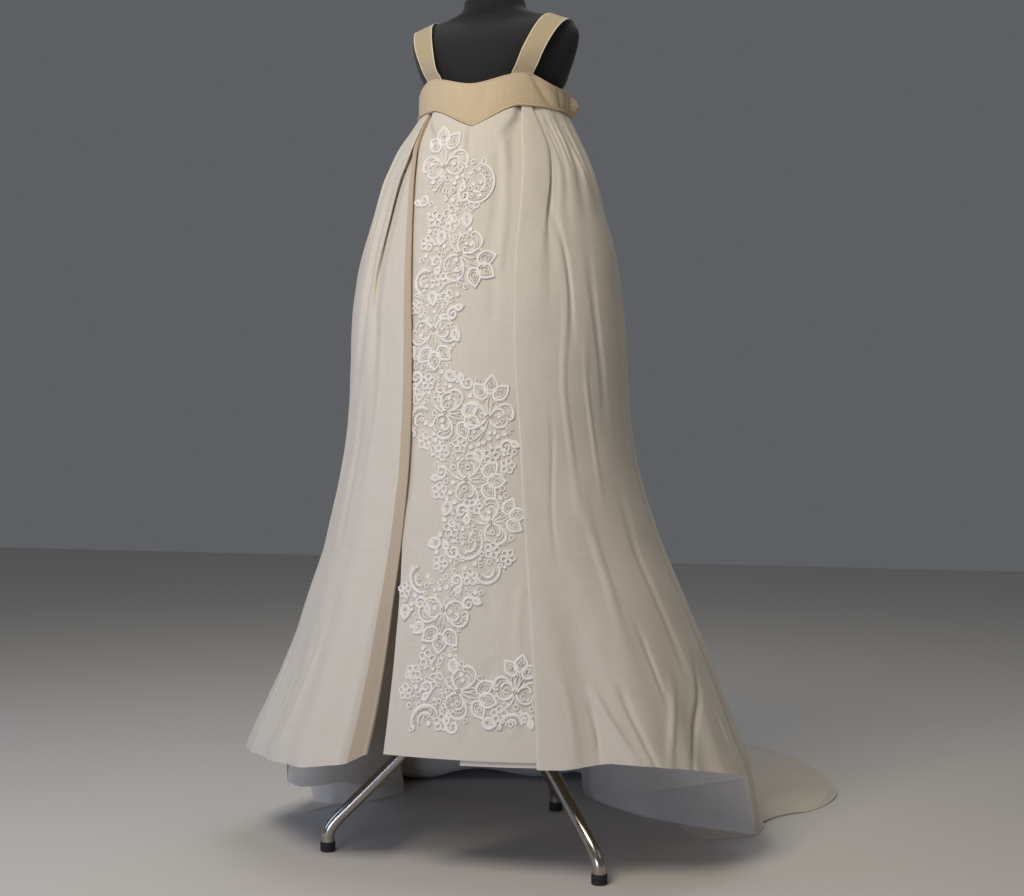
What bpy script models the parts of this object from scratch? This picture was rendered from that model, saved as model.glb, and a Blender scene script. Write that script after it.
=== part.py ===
"""Wedding dress on a dress stand: an empire-line gown, open-fronted over a lace-trimmed panel.

Blender 4.5, metres, +Z up. The gown's front faces -Y and it stands round the stand's column.
Everything is modelled with the column on the Z axis; at the end the whole part is moved so that
the bottom centre of its box is the origin. Every piece of cloth is a closed wall, made from a
grid of points: each row is a level of the garment and each column follows the cloth down.
"""

import math

import bmesh
import bpy
import numpy as np

# Cloth and seams
CLOTH = 0.0015
BAND = 0.0025
RIBBON_THICK = 0.0010
SEAM = 0.0003
APPLIQUE_HIGH = 0.0024

# Yoke
YOKE_ACROSS = 0.131
YOKE_DEEP = 0.110
YOKE_LOW = 1.250
YOKE_POINT = 0.034
YOKE_POINT_HALF = 0.072
YOKE_TOP_SIDE = 1.287
YOKE_TOP_STRAP = 1.304
YOKE_STRAP_AT = 0.086
PIPING_R = 0.0016
YOKE_SIDE_SEAM = 97.0
CLOSING_STANDS_OFF = 0.009
CLOSING_REACH = 17.0

# Hems
HEM_FRONT_PANEL = 0.196
HEM_FRONT_EDGE = 0.185
HEM_SIDE = 0.166
HEM_FOLD = 0.122
HEM_SEAM = 0.008
ROOM = 0.0008
HANGING_ROWS = 14
FLOOR_ROWS = 5

# Stand
COLUMN_R = 0.0125
COLUMN_TOP = 0.7995
HUB_R = 0.0258
HUB_LOW = 0.262
HUB_HIGH = 0.302
LEG_R = 0.011
LEG_ROOT = (0.0335, 0.2805)
LEG_KNEE = (0.2600, 0.0620)
LEG_FOOT = (0.2840, 0.0240)
FOOT_CAP_R = 0.0128
FOOT_CAP_HIGH = 0.0160
LEG_AZIMUTHS = (-65.7, 54.3, 174.3)
LEG_SIDES = 12

# How the skirt falls. Columns: height; half width; depth of the front; depth of the back;
# how far across and how far back a fold has travelled from the yoke to the floor (0 to 1);
# distance from the centre front to the left and to the right front edge.
FALL = np.array([
    # height side   front  back   across back_by left   right
    (0.000, 0.455, 0.272, 0.500, 1.000, 1.000, 0.150, 0.172),
    (0.060, 0.452, 0.268, 0.484, 0.990, 0.960, 0.145, 0.168),
    (0.170, 0.439, 0.260, 0.446, 0.950, 0.885, 0.134, 0.160),
    (0.250, 0.406, 0.250, 0.416, 0.848, 0.815, 0.121, 0.151),
    (0.340, 0.369, 0.239, 0.384, 0.734, 0.740, 0.109, 0.142),
    (0.420, 0.334, 0.230, 0.354, 0.626, 0.680, 0.099, 0.134),
    (0.510, 0.299, 0.219, 0.322, 0.515, 0.610, 0.088, 0.126),
    (0.600, 0.274, 0.208, 0.294, 0.437, 0.545, 0.080, 0.118),
    (0.680, 0.257, 0.198, 0.270, 0.385, 0.480, 0.076, 0.112),
    (0.750, 0.247, 0.190, 0.250, 0.354, 0.430, 0.076, 0.105),
    (0.850, 0.243, 0.178, 0.222, 0.343, 0.370, 0.080, 0.096),
    (0.930, 0.237, 0.168, 0.202, 0.325, 0.320, 0.085, 0.093),
    (1.010, 0.224, 0.157, 0.180, 0.284, 0.260, 0.090, 0.092),
    (1.080, 0.204, 0.147, 0.160, 0.223, 0.190, 0.094, 0.094),
    (1.150, 0.184, 0.135, 0.142, 0.162, 0.130, 0.097, 0.093),
    (1.200, 0.161, 0.123, 0.126, 0.094, 0.060, 0.098, 0.086),
    (1.250, 0.131, 0.110, 0.110, 0.000, 0.000, 0.098, 0.078),
])
HEIGHT, SIDE, FRONT, BACK, ACROSS, BACK_BY, LEFT_EDGE, RIGHT_EDGE = range(8)

# The deep fold at each side, where the side panel passes under the train panel.
# Places on the floor, from the centre outwards and to the back.
FOLDS = {
    "left": {"sign": -1.0, "turn_in": (0.330, 0.100), "inner": (0.300, 0.335),
             "turn_out": (0.345, 0.172), "corner": (0.436, 0.205)},
    "right": {"sign": 1.0, "turn_in": (0.190, 0.190), "inner": (0.045, 0.428),
              "turn_out": (0.185, 0.250), "corner": (0.414, 0.213)},
}
# The side's outer fold, in degrees round from the centre front, at the yoke and on the floor.
OUTER_FOLD_ANGLE = (97.0, 104.0)
UNDERLAY_REACH = 0.012
SIDE_COLUMNS = 16
# Height of the side panel's lower edge. Columns: share of the way from its front edge to the
# inner end of its fold; height.
SIDE_HEM = np.array([(0.0, HEM_FRONT_EDGE), (0.30, HEM_FRONT_EDGE - 0.004), (0.52, HEM_SIDE),
                     (0.80, HEM_FOLD), (0.90, 0.066), (1.0, HEM_SEAM)])
# The front panel's left cut edge. Columns: height; distance from the centre front.
PANEL_LEFT = np.array([(HEM_FRONT_PANEL, 0.104), (0.47, 0.0895), (0.62, 0.0905), (0.95, 0.097),
                       (YOKE_LOW, 0.1035)])

# Top pleats pressed into the yoke. Columns: side; angle round the yoke from the centre front;
# half width in degrees; depth of the valley; height at which it has faded out.
PLEATS_FROM = 42.0
PLEATS = (
    ("left", 64.0, 7.0, 0.0085, 0.86),
    ("left", 84.0, 8.0, 0.0050, 0.98),
    ("right", 55.0, 6.0, 0.0075, 0.82),
    ("right", 71.0, 6.0, 0.0055, 0.96),
    ("right", 86.0, 6.0, 0.0040, 1.02),
)
# Soft flutes that open towards the hem. Columns: side; angle at the hem; half width; height of
# the swell; height at which it starts.
FLUTES = (
    ("left", 34.0, 9.0, 0.012, 0.70),
    ("left", 58.0, 12.0, -0.012, 0.62),
    ("left", 82.0, 12.0, 0.010, 0.55),
    ("right", 36.0, 10.0, -0.011, 0.60),
    ("right", 55.0, 9.0, 0.012, 0.52),
    ("right", 78.0, 11.0, -0.010, 0.50),
)
BACK_GATHERS = 3
BACK_GATHER_DEEP = 0.013

# The train on the floor, one side, from the folded corner round to the centre back.
TRAIN_EDGE = ((0.428, 0.196), (0.436, 0.262), (0.446, 0.345), (0.500, 0.450), (0.526, 0.560),
              (0.512, 0.660), (0.475, 0.750), (0.432, 0.855), (0.352, 0.965), (0.245, 1.058),
              (0.125, 1.105), (0.0, 1.120))
# Where the back of the skirt comes down to the floor.
TRAIN_FALL = ((0.414, 0.213), (0.415, 0.252), (0.404, 0.300), (0.380, 0.350), (0.345, 0.395),
              (0.300, 0.430), (0.250, 0.455), (0.195, 0.475), (0.140, 0.488), (0.085, 0.496),
              (0.040, 0.500), (0.0, 0.500))

# Lilies of the applique. Columns: distance from the centre front; height; the way the flower
# points, in degrees from straight up, clockwise; length of a petal.
LILIES = (
    (-0.045, 1.150, 0.0, 0.068),
    (-0.005, 1.000, 125.0, 0.066),
    (-0.041, 0.877, 180.0, 0.066),
    (-0.012, 0.742, 115.0, 0.058),
    (0.066, 0.735, 0.0, 0.068),
    (0.029, 0.640, 95.0, 0.060),
    (0.084, 0.554, 60.0, 0.052),
    (-0.001, 0.422, 180.0, 0.068),
    (0.025, 0.316, 110.0, 0.062),
    (0.112, 0.318, 10.0, 0.055),
)
# Petals of one lily. Columns: degrees from the way the flower points; length as a share.
PETALS = ((0, 1.0), (-48, 0.95), (48, 0.95), (-100, 0.62), (100, 0.62), (180, 0.45))
PETAL_HALF_WIDE = 0.017
# Leaves and scrolls between them. Columns: distance from the centre front; height; half width;
# half height.
SCROLLS = (
    (-0.070, 1.100, 0.018, 0.030), (0.030, 1.125, 0.026, 0.030), (-0.012, 1.072, 0.024, 0.024),
    (-0.052, 1.020, 0.020, 0.024), (-0.035, 0.950, 0.024, 0.022), (-0.050, 0.790, 0.020, 0.030),
    (-0.062, 0.715, 0.016, 0.034), (0.070, 0.640, 0.020, 0.030), (-0.015, 0.608, 0.026, 0.020),
    (-0.018, 0.560, 0.024, 0.022), (0.035, 0.510, 0.036, 0.022), (-0.075, 0.455, 0.022, 0.022),
    (-0.020, 0.478, 0.030, 0.020), (0.062, 0.462, 0.022, 0.020), (0.012, 0.350, 0.022, 0.020),
    (-0.045, 0.318, 0.022, 0.026), (-0.020, 0.250, 0.032, 0.018), (0.092, 0.258, 0.030, 0.026),
)

# The form under the gown. Columns: height; half width; half depth; how far its middle lies back.
TORSO = (
    (0.800, 0.060, 0.045, 0.000), (0.806, 0.104, 0.082, 0.000), (0.830, 0.126, 0.100, 0.002),
    (0.900, 0.138, 0.110, 0.004), (0.980, 0.134, 0.106, 0.004), (1.060, 0.116, 0.092, 0.002),
    (1.130, 0.104, 0.084, 0.000), (1.200, 0.108, 0.087, 0.000), (1.292, 0.113, 0.091, 0.000),
    (1.330, 0.134, 0.096, 0.002), (1.365, 0.146, 0.088, 0.004), (1.388, 0.150, 0.073, 0.006),
    (1.402, 0.145, 0.060, 0.008), (1.412, 0.131, 0.051, 0.010), (1.420, 0.108, 0.047, 0.010),
    (1.428, 0.076, 0.048, 0.008), (1.436, 0.056, 0.049, 0.006), (1.452, 0.053, 0.048, 0.004),
)
TORSO_SIDES = 24

# The right-hand ribbon between the yoke's front and back. Columns: distance out; back; height; how
# much its outer edge drops; how far the ribbon is turned with the yoke's curve.
RIBBON_PATH = (
    (0.0860, -0.0850, 1.3200, 0.00, 0.60), (0.0950, -0.0800, 1.3450, 0.04, 0.45),
    (0.1040, -0.0680, 1.3700, 0.12, 0.30), (0.1120, -0.0500, 1.3935, 0.24, 0.16),
    (0.1180, -0.0270, 1.4101, 0.36, 0.06), (0.1210, 0.0000, 1.4180, 0.42, 0.00),
    (0.1210, 0.0250, 1.4175, 0.42, -0.04), (0.1180, 0.0500, 1.4061, 0.34, -0.12),
    (0.1120, 0.0700, 1.3850, 0.22, -0.26), (0.1020, 0.0830, 1.3540, 0.10, -0.42),
    (0.0900, 0.0865, 1.3200, 0.02, -0.58),
)
RIBBON_ENDS = ((37.4, 1.2900), (37.4, 1.3030), (142.6, 1.3000), (142.6, 1.2740))
RIBBON_TURN = 8.6
RIBBON_WIDE = 0.037


def material(name, colour, roughness, metallic=0.0):
    made = bpy.data.materials.new(name)
    made.use_nodes = True
    shader = made.node_tree.nodes["Principled BSDF"]
    shader.inputs["Base Color"].default_value = (*colour, 1.0)
    shader.inputs["Roughness"].default_value = roughness
    shader.inputs["Metallic"].default_value = metallic
    return made


def solid(name, points, faces, finish, smooth=True):
    """One closed body from its points and faces, with the faces turned outwards."""
    shape = bmesh.new()
    made = [shape.verts.new(p) for p in points]
    for face in faces:
        shape.faces.new([made[i] for i in face])
    bmesh.ops.recalc_face_normals(shape, faces=shape.faces)
    mesh = bpy.data.meshes.new(name)
    shape.to_mesh(mesh)
    shape.free()
    if smooth:
        mesh.shade_smooth()
        mesh.set_sharp_from_angle(angle=math.radians(50))
    mesh.materials.append(finish)
    obj = bpy.data.objects.new(name, mesh)
    bpy.context.collection.objects.link(obj)
    return obj


def ellipse(angle, across, deep_front, deep_back):
    """A place on an oval round the column; 0 degrees is the centre front, 180 the centre back."""
    a = math.radians(angle)
    deep = deep_front if math.cos(a) > 0 else deep_back
    return np.array((across * math.sin(a), -deep * math.cos(a)))


def inward(angle, across, deep_front, deep_back):
    """The way towards the column from a place on the oval, square to the cloth."""
    a = math.radians(angle)
    deep = deep_front if math.cos(a) > 0 else deep_back
    away = np.array((math.sin(a) / across, -math.cos(a) / deep))
    return -away / np.linalg.norm(away)


def inside(angle, depth, oval):
    """A place on the oval, moved in from it by a depth."""
    return ellipse(angle, *oval) + depth * inward(angle, *oval)


def hairpin(angle, depth_from, depth_to, way, oval, steps):
    """Points of the rounded edge of a fold, from one depth of cloth to another.

    The fold bulges towards the side (way 1) or towards the centre front (way -1).
    """
    centre = inside(angle, (depth_from + depth_to) / 2, oval)
    across = inward(angle, *oval)
    along = np.array((across[1], -across[0])) * (-way if across[1] > 0 else way)
    if along[0] * way < 0:
        along = -along
    radius = (depth_to - depth_from) / 2
    points = []
    for k in range(1, steps):
        a = math.pi * k / steps
        points.append(centre - radius * math.cos(a) * across + abs(radius) * math.sin(a) * along)
    return points


def at_height(z, column):
    return float(np.interp(z, FALL[:, HEIGHT], FALL[:, column]))


def smooth_step(t):
    t = np.clip(t, 0.0, 1.0)
    return t * t * (3.0 - 2.0 * t)


def bump(distance, half_width):
    """1 at the middle of a fold, 0 at its half width."""
    return np.where(np.abs(distance) < half_width, np.cos(distance / half_width * math.pi / 2) ** 2, 0.0)


def normals_of(grid):
    """The way each point of a grid of rows and columns faces."""
    across = np.gradient(grid, axis=1)
    down = np.gradient(grid, axis=0)
    n = np.cross(down, across)
    return n / np.maximum(np.linalg.norm(n, axis=2, keepdims=True), 1e-9)


def wall_faces(rows, columns, start=0, flip=False):
    faces = []
    for i in range(rows - 1):
        for j in range(columns - 1):
            a = start + i * columns + j
            for face in ((a, a + 1, a + columns + 1), (a, a + columns + 1, a + columns)):
                faces.append(face[::-1] if flip else face)
    return faces


def border_of(rows, columns, start=0):
    """The points round the edge of a grid, in order."""
    top = [j for j in range(columns)]
    right = [i * columns + columns - 1 for i in range(1, rows)]
    bottom = [(rows - 1) * columns + j for j in range(columns - 2, -1, -1)]
    left = [i * columns for i in range(rows - 2, 0, -1)]
    return [start + k for k in top + right + bottom + left]


def cloth_wall(name, outer, inner, finish):
    """A closed wall between two grids with the same rows and columns."""
    rows, columns = outer.shape[:2]
    count = rows * columns
    points = np.concatenate([outer.reshape(-1, 3), inner.reshape(-1, 3)])
    faces = wall_faces(rows, columns) + wall_faces(rows, columns, count, flip=True)
    edge = border_of(rows, columns)
    for k, a in enumerate(edge):
        b = edge[(k + 1) % len(edge)]
        faces.append((b, a, a + count, b + count))
    return solid(name, points, faces, finish)


def relief_wall(name, outer, inner, ratio, finish):
    """A wall whose outer grid is finer than its plain inner grid by a whole ratio each way."""
    fine_rows, fine_columns = outer.shape[:2]
    rows, columns = inner.shape[:2]
    count = fine_rows * fine_columns
    points = np.concatenate([outer.reshape(-1, 3), inner.reshape(-1, 3)])
    faces = wall_faces(fine_rows, fine_columns)
    faces += wall_faces(rows, columns, count, flip=True)
    fine = border_of(fine_rows, fine_columns)
    plain = border_of(rows, columns, count)
    half = ratio // 2
    for k, here in enumerate(plain):
        after = plain[(k + 1) % len(plain)]
        run = [fine[(k * ratio + i) % len(fine)] for i in range(ratio + 1)]
        for i in range(ratio):
            faces.append((run[i + 1], run[i], here if i < half else after))
        faces.append((after, run[half], here))
    return solid(name, points, faces, finish)


def yoke_low(angle):
    """Height of the yoke's lower edge, which comes to a point at the centre front."""
    x = abs(YOKE_ACROSS * math.sin(math.radians(angle)))
    if abs(angle) > 90 or x > YOKE_POINT_HALF:
        return YOKE_LOW
    t = 1.0 - x / YOKE_POINT_HALF
    return YOKE_LOW - YOKE_POINT * (0.62 * t + 0.38 * smooth_step(t))


def yoke_top(angle):
    """Height of the yoke's top edge, scalloped up to a strap on each side of the front."""
    x = abs(YOKE_ACROSS * math.sin(math.radians(angle)))
    rise = YOKE_TOP_STRAP - YOKE_TOP_SIDE
    if abs(angle) > 90:
        return YOKE_TOP_SIDE + 0.3 * rise * float(bump((180 - abs(angle)) - 40, 26))
    if x < YOKE_STRAP_AT:
        return YOKE_TOP_SIDE + rise * float(smooth_step(x / YOKE_STRAP_AT))
    return YOKE_TOP_SIDE + rise * float(1 - smooth_step((x - YOKE_STRAP_AT) / (YOKE_ACROSS - YOKE_STRAP_AT)))


def band(name, turns, flare, finish):
    """A piece of the yoke over a run of angles; flare says how far out a point of it stands."""
    rows = 3
    outer = np.zeros((rows, len(turns), 3))
    inner = outer.copy()
    for j, turn_at in enumerate(turns):
        angle = turn_at if turn_at <= 180 else turn_at - 360
        size = (YOKE_ACROSS + flare(turn_at), YOKE_DEEP + flare(turn_at), YOKE_DEEP + flare(turn_at))
        for i in range(rows):
            z = yoke_top(angle) + (yoke_low(angle) - yoke_top(angle)) * i / (rows - 1)
            outer[i, j] = (*ellipse(angle, *size), z)
            inner[i, j] = (*inside(angle, BAND, size), z)
    cloth_wall(name, outer, inner, finish)


def make_yoke(finish):
    """The front and the back of the yoke; the back's closing end stands off past the side seam."""
    gap = math.degrees(SEAM / YOKE_DEEP)
    seam = YOKE_SIDE_SEAM
    band("yoke_front", np.linspace(-seam, seam, 41), lambda turn_at: 0.0, finish)

    def closing_end(turn_at):
        return CLOSING_STANDS_OFF * float(1 - smooth_step((turn_at - seam) / CLOSING_REACH))

    band("yoke_back", np.linspace(seam + gap, 360.0 - seam - gap, 23), closing_end, finish)


def make_piping(finish):
    """The thin corded roll along the yoke's lower edge, front half."""
    angles = np.linspace(-95.0, 95.0, 41)
    sides = 5
    points = []
    for angle in angles:
        out = PIPING_R + SEAM
        x, y = ellipse(angle, YOKE_ACROSS + out, YOKE_DEEP + out, YOKE_DEEP + out)
        away = -inward(angle, YOKE_ACROSS, YOKE_DEEP, YOKE_DEEP)
        for k in range(sides):
            a = 2 * math.pi * k / sides
            r = PIPING_R * math.cos(a)
            points.append((x + r * away[0], y + r * away[1],
                           yoke_low(angle) + PIPING_R * (1.35 + math.sin(a))))
    faces = []
    for i in range(len(angles) - 1):
        for k in range(sides):
            a, b = i * sides + k, i * sides + (k + 1) % sides
            faces.append((a, b, b + sides, a + sides))
    faces.append(tuple(range(sides)))
    faces.append(tuple((len(angles) - 1) * sides + k for k in range(sides)))
    solid("yoke_piping", points, faces, finish)


def bezier(a, b, c, t):
    a, b, c = (np.array(p, float) for p in (a, b, c))
    return (1 - t) ** 2 * a + 2 * t * (1 - t) * b + t * t * c


def turn(centre, start, sweep, radius, steps):
    """Points of a small arc, the rounded edge of a fold."""
    return [np.array(centre) + radius * np.array((math.cos(start + sweep * i / steps),
                                                  math.sin(start + sweep * i / steps)))
            for i in range(steps + 1)]


def fold_depths(name, z):
    """How deep the layers of the front fold lie: its own return, and the underlay behind it."""
    share = (YOKE_LOW - z) / YOKE_LOW
    returned = 2 * (0.0022 + 0.0038 * share)
    if name == "left":
        returned += 0.011 * float(smooth_step((share - 0.45) / 0.45))
    return returned, returned + 0.0066 + 0.0016 * share


def side_path(name, z):
    """The side panel's line at a height, seen from above, with the side to the right.

    It runs from the end of its underlay, round the front fold, along the side to the outer
    fold at the back, and in again under the train panel.
    """
    oval = tuple(at_height(z, k) for k in (SIDE, FRONT, BACK))
    share = (YOKE_LOW - z) / YOKE_LOW
    returned, under = fold_depths(name, z)
    edge = at_height(z, LEFT_EDGE if name == "left" else RIGHT_EDGE) + returned / 2
    edge_angle = math.degrees(math.asin(edge / oval[0]))
    round_by = math.degrees(1 / math.hypot(oval[0] * math.cos(math.radians(edge_angle)),
                                           oval[1] * math.sin(math.radians(edge_angle))))
    path = []
    if name == "right":
        turned = edge_angle + round_by * (0.018 + 0.014 * share)
        reach = UNDERLAY_REACH * share + (edge - 0.030) * (1 - share)
        start = math.degrees(math.asin(reach / oval[0]))
        for t in (0.0, 0.25, 0.5, 0.75, 1.0):
            path.append(inside(start + (turned - start) * t, under, oval))
        path += hairpin(turned, under, returned, 1, oval, 3)
        path.append(inside(turned, returned, oval))
    else:
        path.append(inside(edge_angle + round_by * (0.008 + 0.030 * share), returned, oval))
    path.append(inside(edge_angle, returned, oval))
    path += hairpin(edge_angle, returned, 0.0, -1, oval, 4)
    outer_angle = OUTER_FOLD_ANGLE[0] + (OUTER_FOLD_ANGLE[1] - OUTER_FOLD_ANGLE[0]) * at_height(z, ACROSS)
    for k in range(SIDE_COLUMNS):
        spread = k / (SIDE_COLUMNS - 1)
        angle = edge_angle + (outer_angle - edge_angle) * spread
        top_angle = PLEATS_FROM + spread * (OUTER_FOLD_ANGLE[0] - PLEATS_FROM)
        swell = 0.0
        for which, middle_at, half, deep, faded in PLEATS:
            if which == name:
                swell -= deep * float(bump(top_angle - middle_at, half)) * float(
                    smooth_step((z - faded) / (1.19 - faded)) * smooth_step((YOKE_LOW + 0.004 - z) / 0.03))
        for which, middle_at, half, high, begins in FLUTES:
            if which == name:
                swell += high * float(bump(angle - middle_at, half)) * float(smooth_step((begins - z) / 0.5))
        path.append(inside(angle, -swell, oval))
    outer, control, inner = tucked_in(name, z)
    for t in (0.08, 0.25, 0.45, 0.65, 0.83, 1.0):
        path.append(bezier(outer, control, inner, t))
    return path


def travelled(top, low, z):
    """Where a fold's place is at a height, on its way from the yoke to the floor."""
    return top + (np.array(low) - top) * (at_height(z, ACROSS), at_height(z, BACK_BY))


def tucked_in(name, z):
    """The run of the side panel under the train: its outer fold, its bend and its inner seam."""
    fold = FOLDS[name]
    share = (YOKE_LOW - z) / YOKE_LOW
    oval = tuple(at_height(z, k) for k in (SIDE, FRONT, BACK))
    angle = OUTER_FOLD_ANGLE[0] + (OUTER_FOLD_ANGLE[1] - OUTER_FOLD_ANGLE[0]) * at_height(z, ACROSS)
    outer = ellipse(angle, *oval)
    deep_in = ellipse(121.0, YOKE_ACROSS - 0.013, YOKE_DEEP - 0.013, YOKE_DEEP - 0.013)
    inner = travelled(deep_in, fold["inner"], z)
    on_floor = ellipse(OUTER_FOLD_ANGLE[1], *FALL[0, SIDE:ACROSS])
    control = (outer + inner) / 2 + share * (np.array(fold["turn_in"]) - (on_floor + fold["inner"]) / 2)
    return outer, control, inner


def tucked_out(name, z):
    """The run of the train panel from the inner seam out to its folded corner."""
    fold = FOLDS[name]
    share = (YOKE_LOW - z) / YOKE_LOW
    outer, bend, inner = tucked_in(name, z)
    heading = (inner - bend) / np.linalg.norm(inner - bend)
    start = inner + SEAM * 1.5 * np.array((heading[1], -heading[0]))
    on_floor = ellipse(OUTER_FOLD_ANGLE[1], *FALL[0, SIDE:ACROSS])
    corner = outer + (np.array(fold["corner"]) - on_floor) * share ** 3 + (0.001 * (1 - share), 0.0045)
    control = (start + corner) / 2 + share * (
        np.array(fold["turn_out"]) - (np.array(fold["inner"]) + fold["corner"]) / 2)
    return start, control, corner


def hem_of_side(k, total):
    """How low the side panel hangs, from its front edge to the inner end of its fold."""
    return float(np.interp(k / (total - 1), SIDE_HEM[:, 0], SIDE_HEM[:, 1]))


def level(i, low):
    """Height of a hanging row: the rows are a little closer near the yoke."""
    t = i / (HANGING_ROWS - 1)
    return YOKE_LOW - SEAM - (YOKE_LOW - SEAM - low) * (0.68 * t + 0.32 * t * t)


def finish_wall(name, grid, sign, finish, floor_rows=0):
    """Gives a grid its thickness, lays its last rows flat, and mirrors it to its side."""
    inner = grid - normals_of(grid) * CLOTH
    inner[0, :, 2] = grid[0, :, 2]
    if floor_rows:
        inner[:, -1, 0] = grid[:, -1, 0]
        inner[-floor_rows:, :, :2] = grid[-floor_rows:, :, :2]
        inner[-floor_rows:, :, 2] = 0.0
        inner[..., 2] = np.maximum(inner[..., 2], 0.0)
    outer = grid.copy()
    for side in (outer, inner):
        side[..., 0] *= sign
    cloth_wall(name, outer, inner, finish)


def make_side(name, finish):
    columns = len(side_path(name, YOKE_LOW))
    grid = np.zeros((HANGING_ROWS, columns, 3))
    for j in range(columns):
        low = hem_of_side(j, columns)
        for i in range(HANGING_ROWS):
            z = level(i, low)
            grid[i, j] = (*side_path(name, z)[j], z)
    finish_wall(f"skirt_{name}", grid, FOLDS[name]["sign"], finish)


def resample(points, count):
    """Places spread evenly along a line of points."""
    points = np.array(points, float)
    along = np.concatenate([[0], np.cumsum(np.linalg.norm(np.diff(points, axis=0), axis=1))])
    at = np.linspace(0, along[-1], count)
    return np.stack([np.interp(at, along, points[:, k]) for k in range(2)], axis=1)


def make_train(name, finish):
    """The train panel: its deep fold behind the side, then the back down to the floor and out."""
    fold = FOLDS[name]
    inner_columns, corner_columns, back_columns = 6, 3, 17
    fall = resample(TRAIN_FALL, back_columns)
    edge = resample(TRAIN_EDGE, back_columns)
    shift = np.array(fold["corner"]) - fall[0]
    columns = inner_columns + corner_columns + back_columns
    grid = np.zeros((HANGING_ROWS + FLOOR_ROWS, columns, 3))
    for i in range(HANGING_ROWS):
        z = level(i, HEM_SEAM)
        share = (YOKE_LOW - z) / YOKE_LOW
        start, bend, corner = tucked_out(name, z)
        line = [bezier(start, bend, corner, k / inner_columns) for k in range(inner_columns)]
        heading = (corner - line[-1]) / np.linalg.norm(corner - line[-1])
        aside = np.array((-heading[1], heading[0]))
        radius = 0.0022 + 0.006 * share
        begin = math.atan2(-aside[1], -aside[0])
        rounded = turn(corner + aside * radius, begin, math.radians(120), radius, corner_columns)
        line += rounded[:corner_columns]
        for k in range(back_columns):
            t = k / (back_columns - 1)
            top_angle = OUTER_FOLD_ANGLE[0] + 4.0 + (176.0 - OUTER_FOLD_ANGLE[0]) * t
            top = ellipse(top_angle, YOKE_ACROSS, YOKE_DEEP, YOKE_DEEP)
            place = travelled(top, fall[k] + shift * max(0.0, 1 - k / 4), z)
            if k == 0:
                behind = rounded[-1] - place
            place = place + behind * float(1 - smooth_step(k / 5))
            gather = BACK_GATHER_DEEP * math.cos(2 * math.pi * BACK_GATHERS * t)
            gather *= float(smooth_step(share * 5)) * (1 - 0.65 * share) * float(smooth_step(k / 4))
            line.append(place * (1 + gather / np.linalg.norm(place)))
        for j, place in enumerate(line):
            grid[i, j] = (*place, z)
    last = grid[HANGING_ROWS - 1].copy()
    lip = []
    for j in range(inner_columns):
        wide = 0.012 + 0.075 * float(bump(j / inner_columns - 0.80, 0.30))
        lip.append(last[j, :2] + np.array((0.25 * wide, -wide)))
    for j in range(inner_columns, inner_columns + corner_columns):
        a = math.radians(-75.0 + 60.0 * (j - inner_columns) / corner_columns)
        lip.append(last[j, :2] + 0.014 * np.array((math.cos(a), math.sin(a))))
    first = last[inner_columns + corner_columns, :2] + np.array((0.014, -0.002))
    for k in range(back_columns):
        lip.append(edge[k] + (first - edge[0]) * max(0.0, 1 - k / 3))
    for i in range(FLOOR_ROWS):
        t = (i + 0.25) / (FLOOR_ROWS - 0.75)
        for j in range(columns):
            place = last[j, :2] + (lip[j] - last[j, :2]) * t
            grid[HANGING_ROWS + i, j] = (*place, CLOTH)
    grid[:, -1, 0] = SEAM / 2
    finish_wall(f"train_{name}", grid, fold["sign"], finish, FLOOR_ROWS)


def applique(x, z):
    """Height of the lace above the front panel at a place on it."""
    high = np.zeros_like(x)
    for at, up, points_to, size in LILIES:
        dx, dz = x - at, z - up
        for turn_by, reach in PETALS:
            a = math.radians(points_to + turn_by)
            along = dx * math.sin(a) + dz * math.cos(a)
            aside = dx * math.cos(a) - dz * math.sin(a)
            length = size * reach
            within = ((along - length / 2) / (length / 2 + 0.003)) ** 2 + (aside / PETAL_HALF_WIDE) ** 2
            high = np.maximum(high, 1 - smooth_step((within - 0.75) / 0.5))
    for at, up, wide, tall in SCROLLS:
        within = ((x - at) / wide) ** 2 + ((z - up) / tall) ** 2
        high = np.maximum(high, 0.85 * (1 - smooth_step((within - 0.75) / 0.5)))
    return high


def panel_edges(z):
    """The front panel's left and right cut edges, tucked under the side panels."""
    left = np.interp(z, PANEL_LEFT[:, 0], PANEL_LEFT[:, 1])
    right = at_height(z, RIGHT_EDGE) + 0.013 + 0.004 * (YOKE_LOW - z)
    return -float(left), right


def shown_between(z):
    """The part of the front panel that the side panels leave bare at a height."""
    left = min(at_height(z, LEFT_EDGE), -panel_edges(z)[0])
    return -left + 0.004, at_height(z, RIGHT_EDGE) - 0.004


def panel_grid(rows, columns):
    grid = np.zeros((rows, columns, 3))
    for i in range(rows):
        down = i / (rows - 1)
        for j in range(columns):
            t = j / (columns - 1)
            left, right = panel_edges(YOKE_LOW - (YOKE_LOW - HEM_FRONT_PANEL) * down)
            x = left + (right - left) * t
            angle = math.degrees(math.asin(np.clip(x / YOKE_ACROSS, -1, 1)))
            top = yoke_low(angle) - ROOM
            z = top - (top - HEM_FRONT_PANEL) * down
            left, right = panel_edges(z)
            x = left + (right - left) * t
            oval = tuple(at_height(z, k) for k in (SIDE, FRONT, BACK))
            near_edge = float(smooth_step((abs(t - 0.5) - 0.22) / 0.16))
            below = float(smooth_step((1.235 - z) / 0.12))
            full = fold_depths("right", z)[0] + 0.0034
            setback = 0.0002 + (full - 0.0002) * max(near_edge, below)
            place = inside(math.degrees(math.asin(x / oval[0])), setback, oval)
            grid[i, j] = (*place, z)
    return grid


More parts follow.
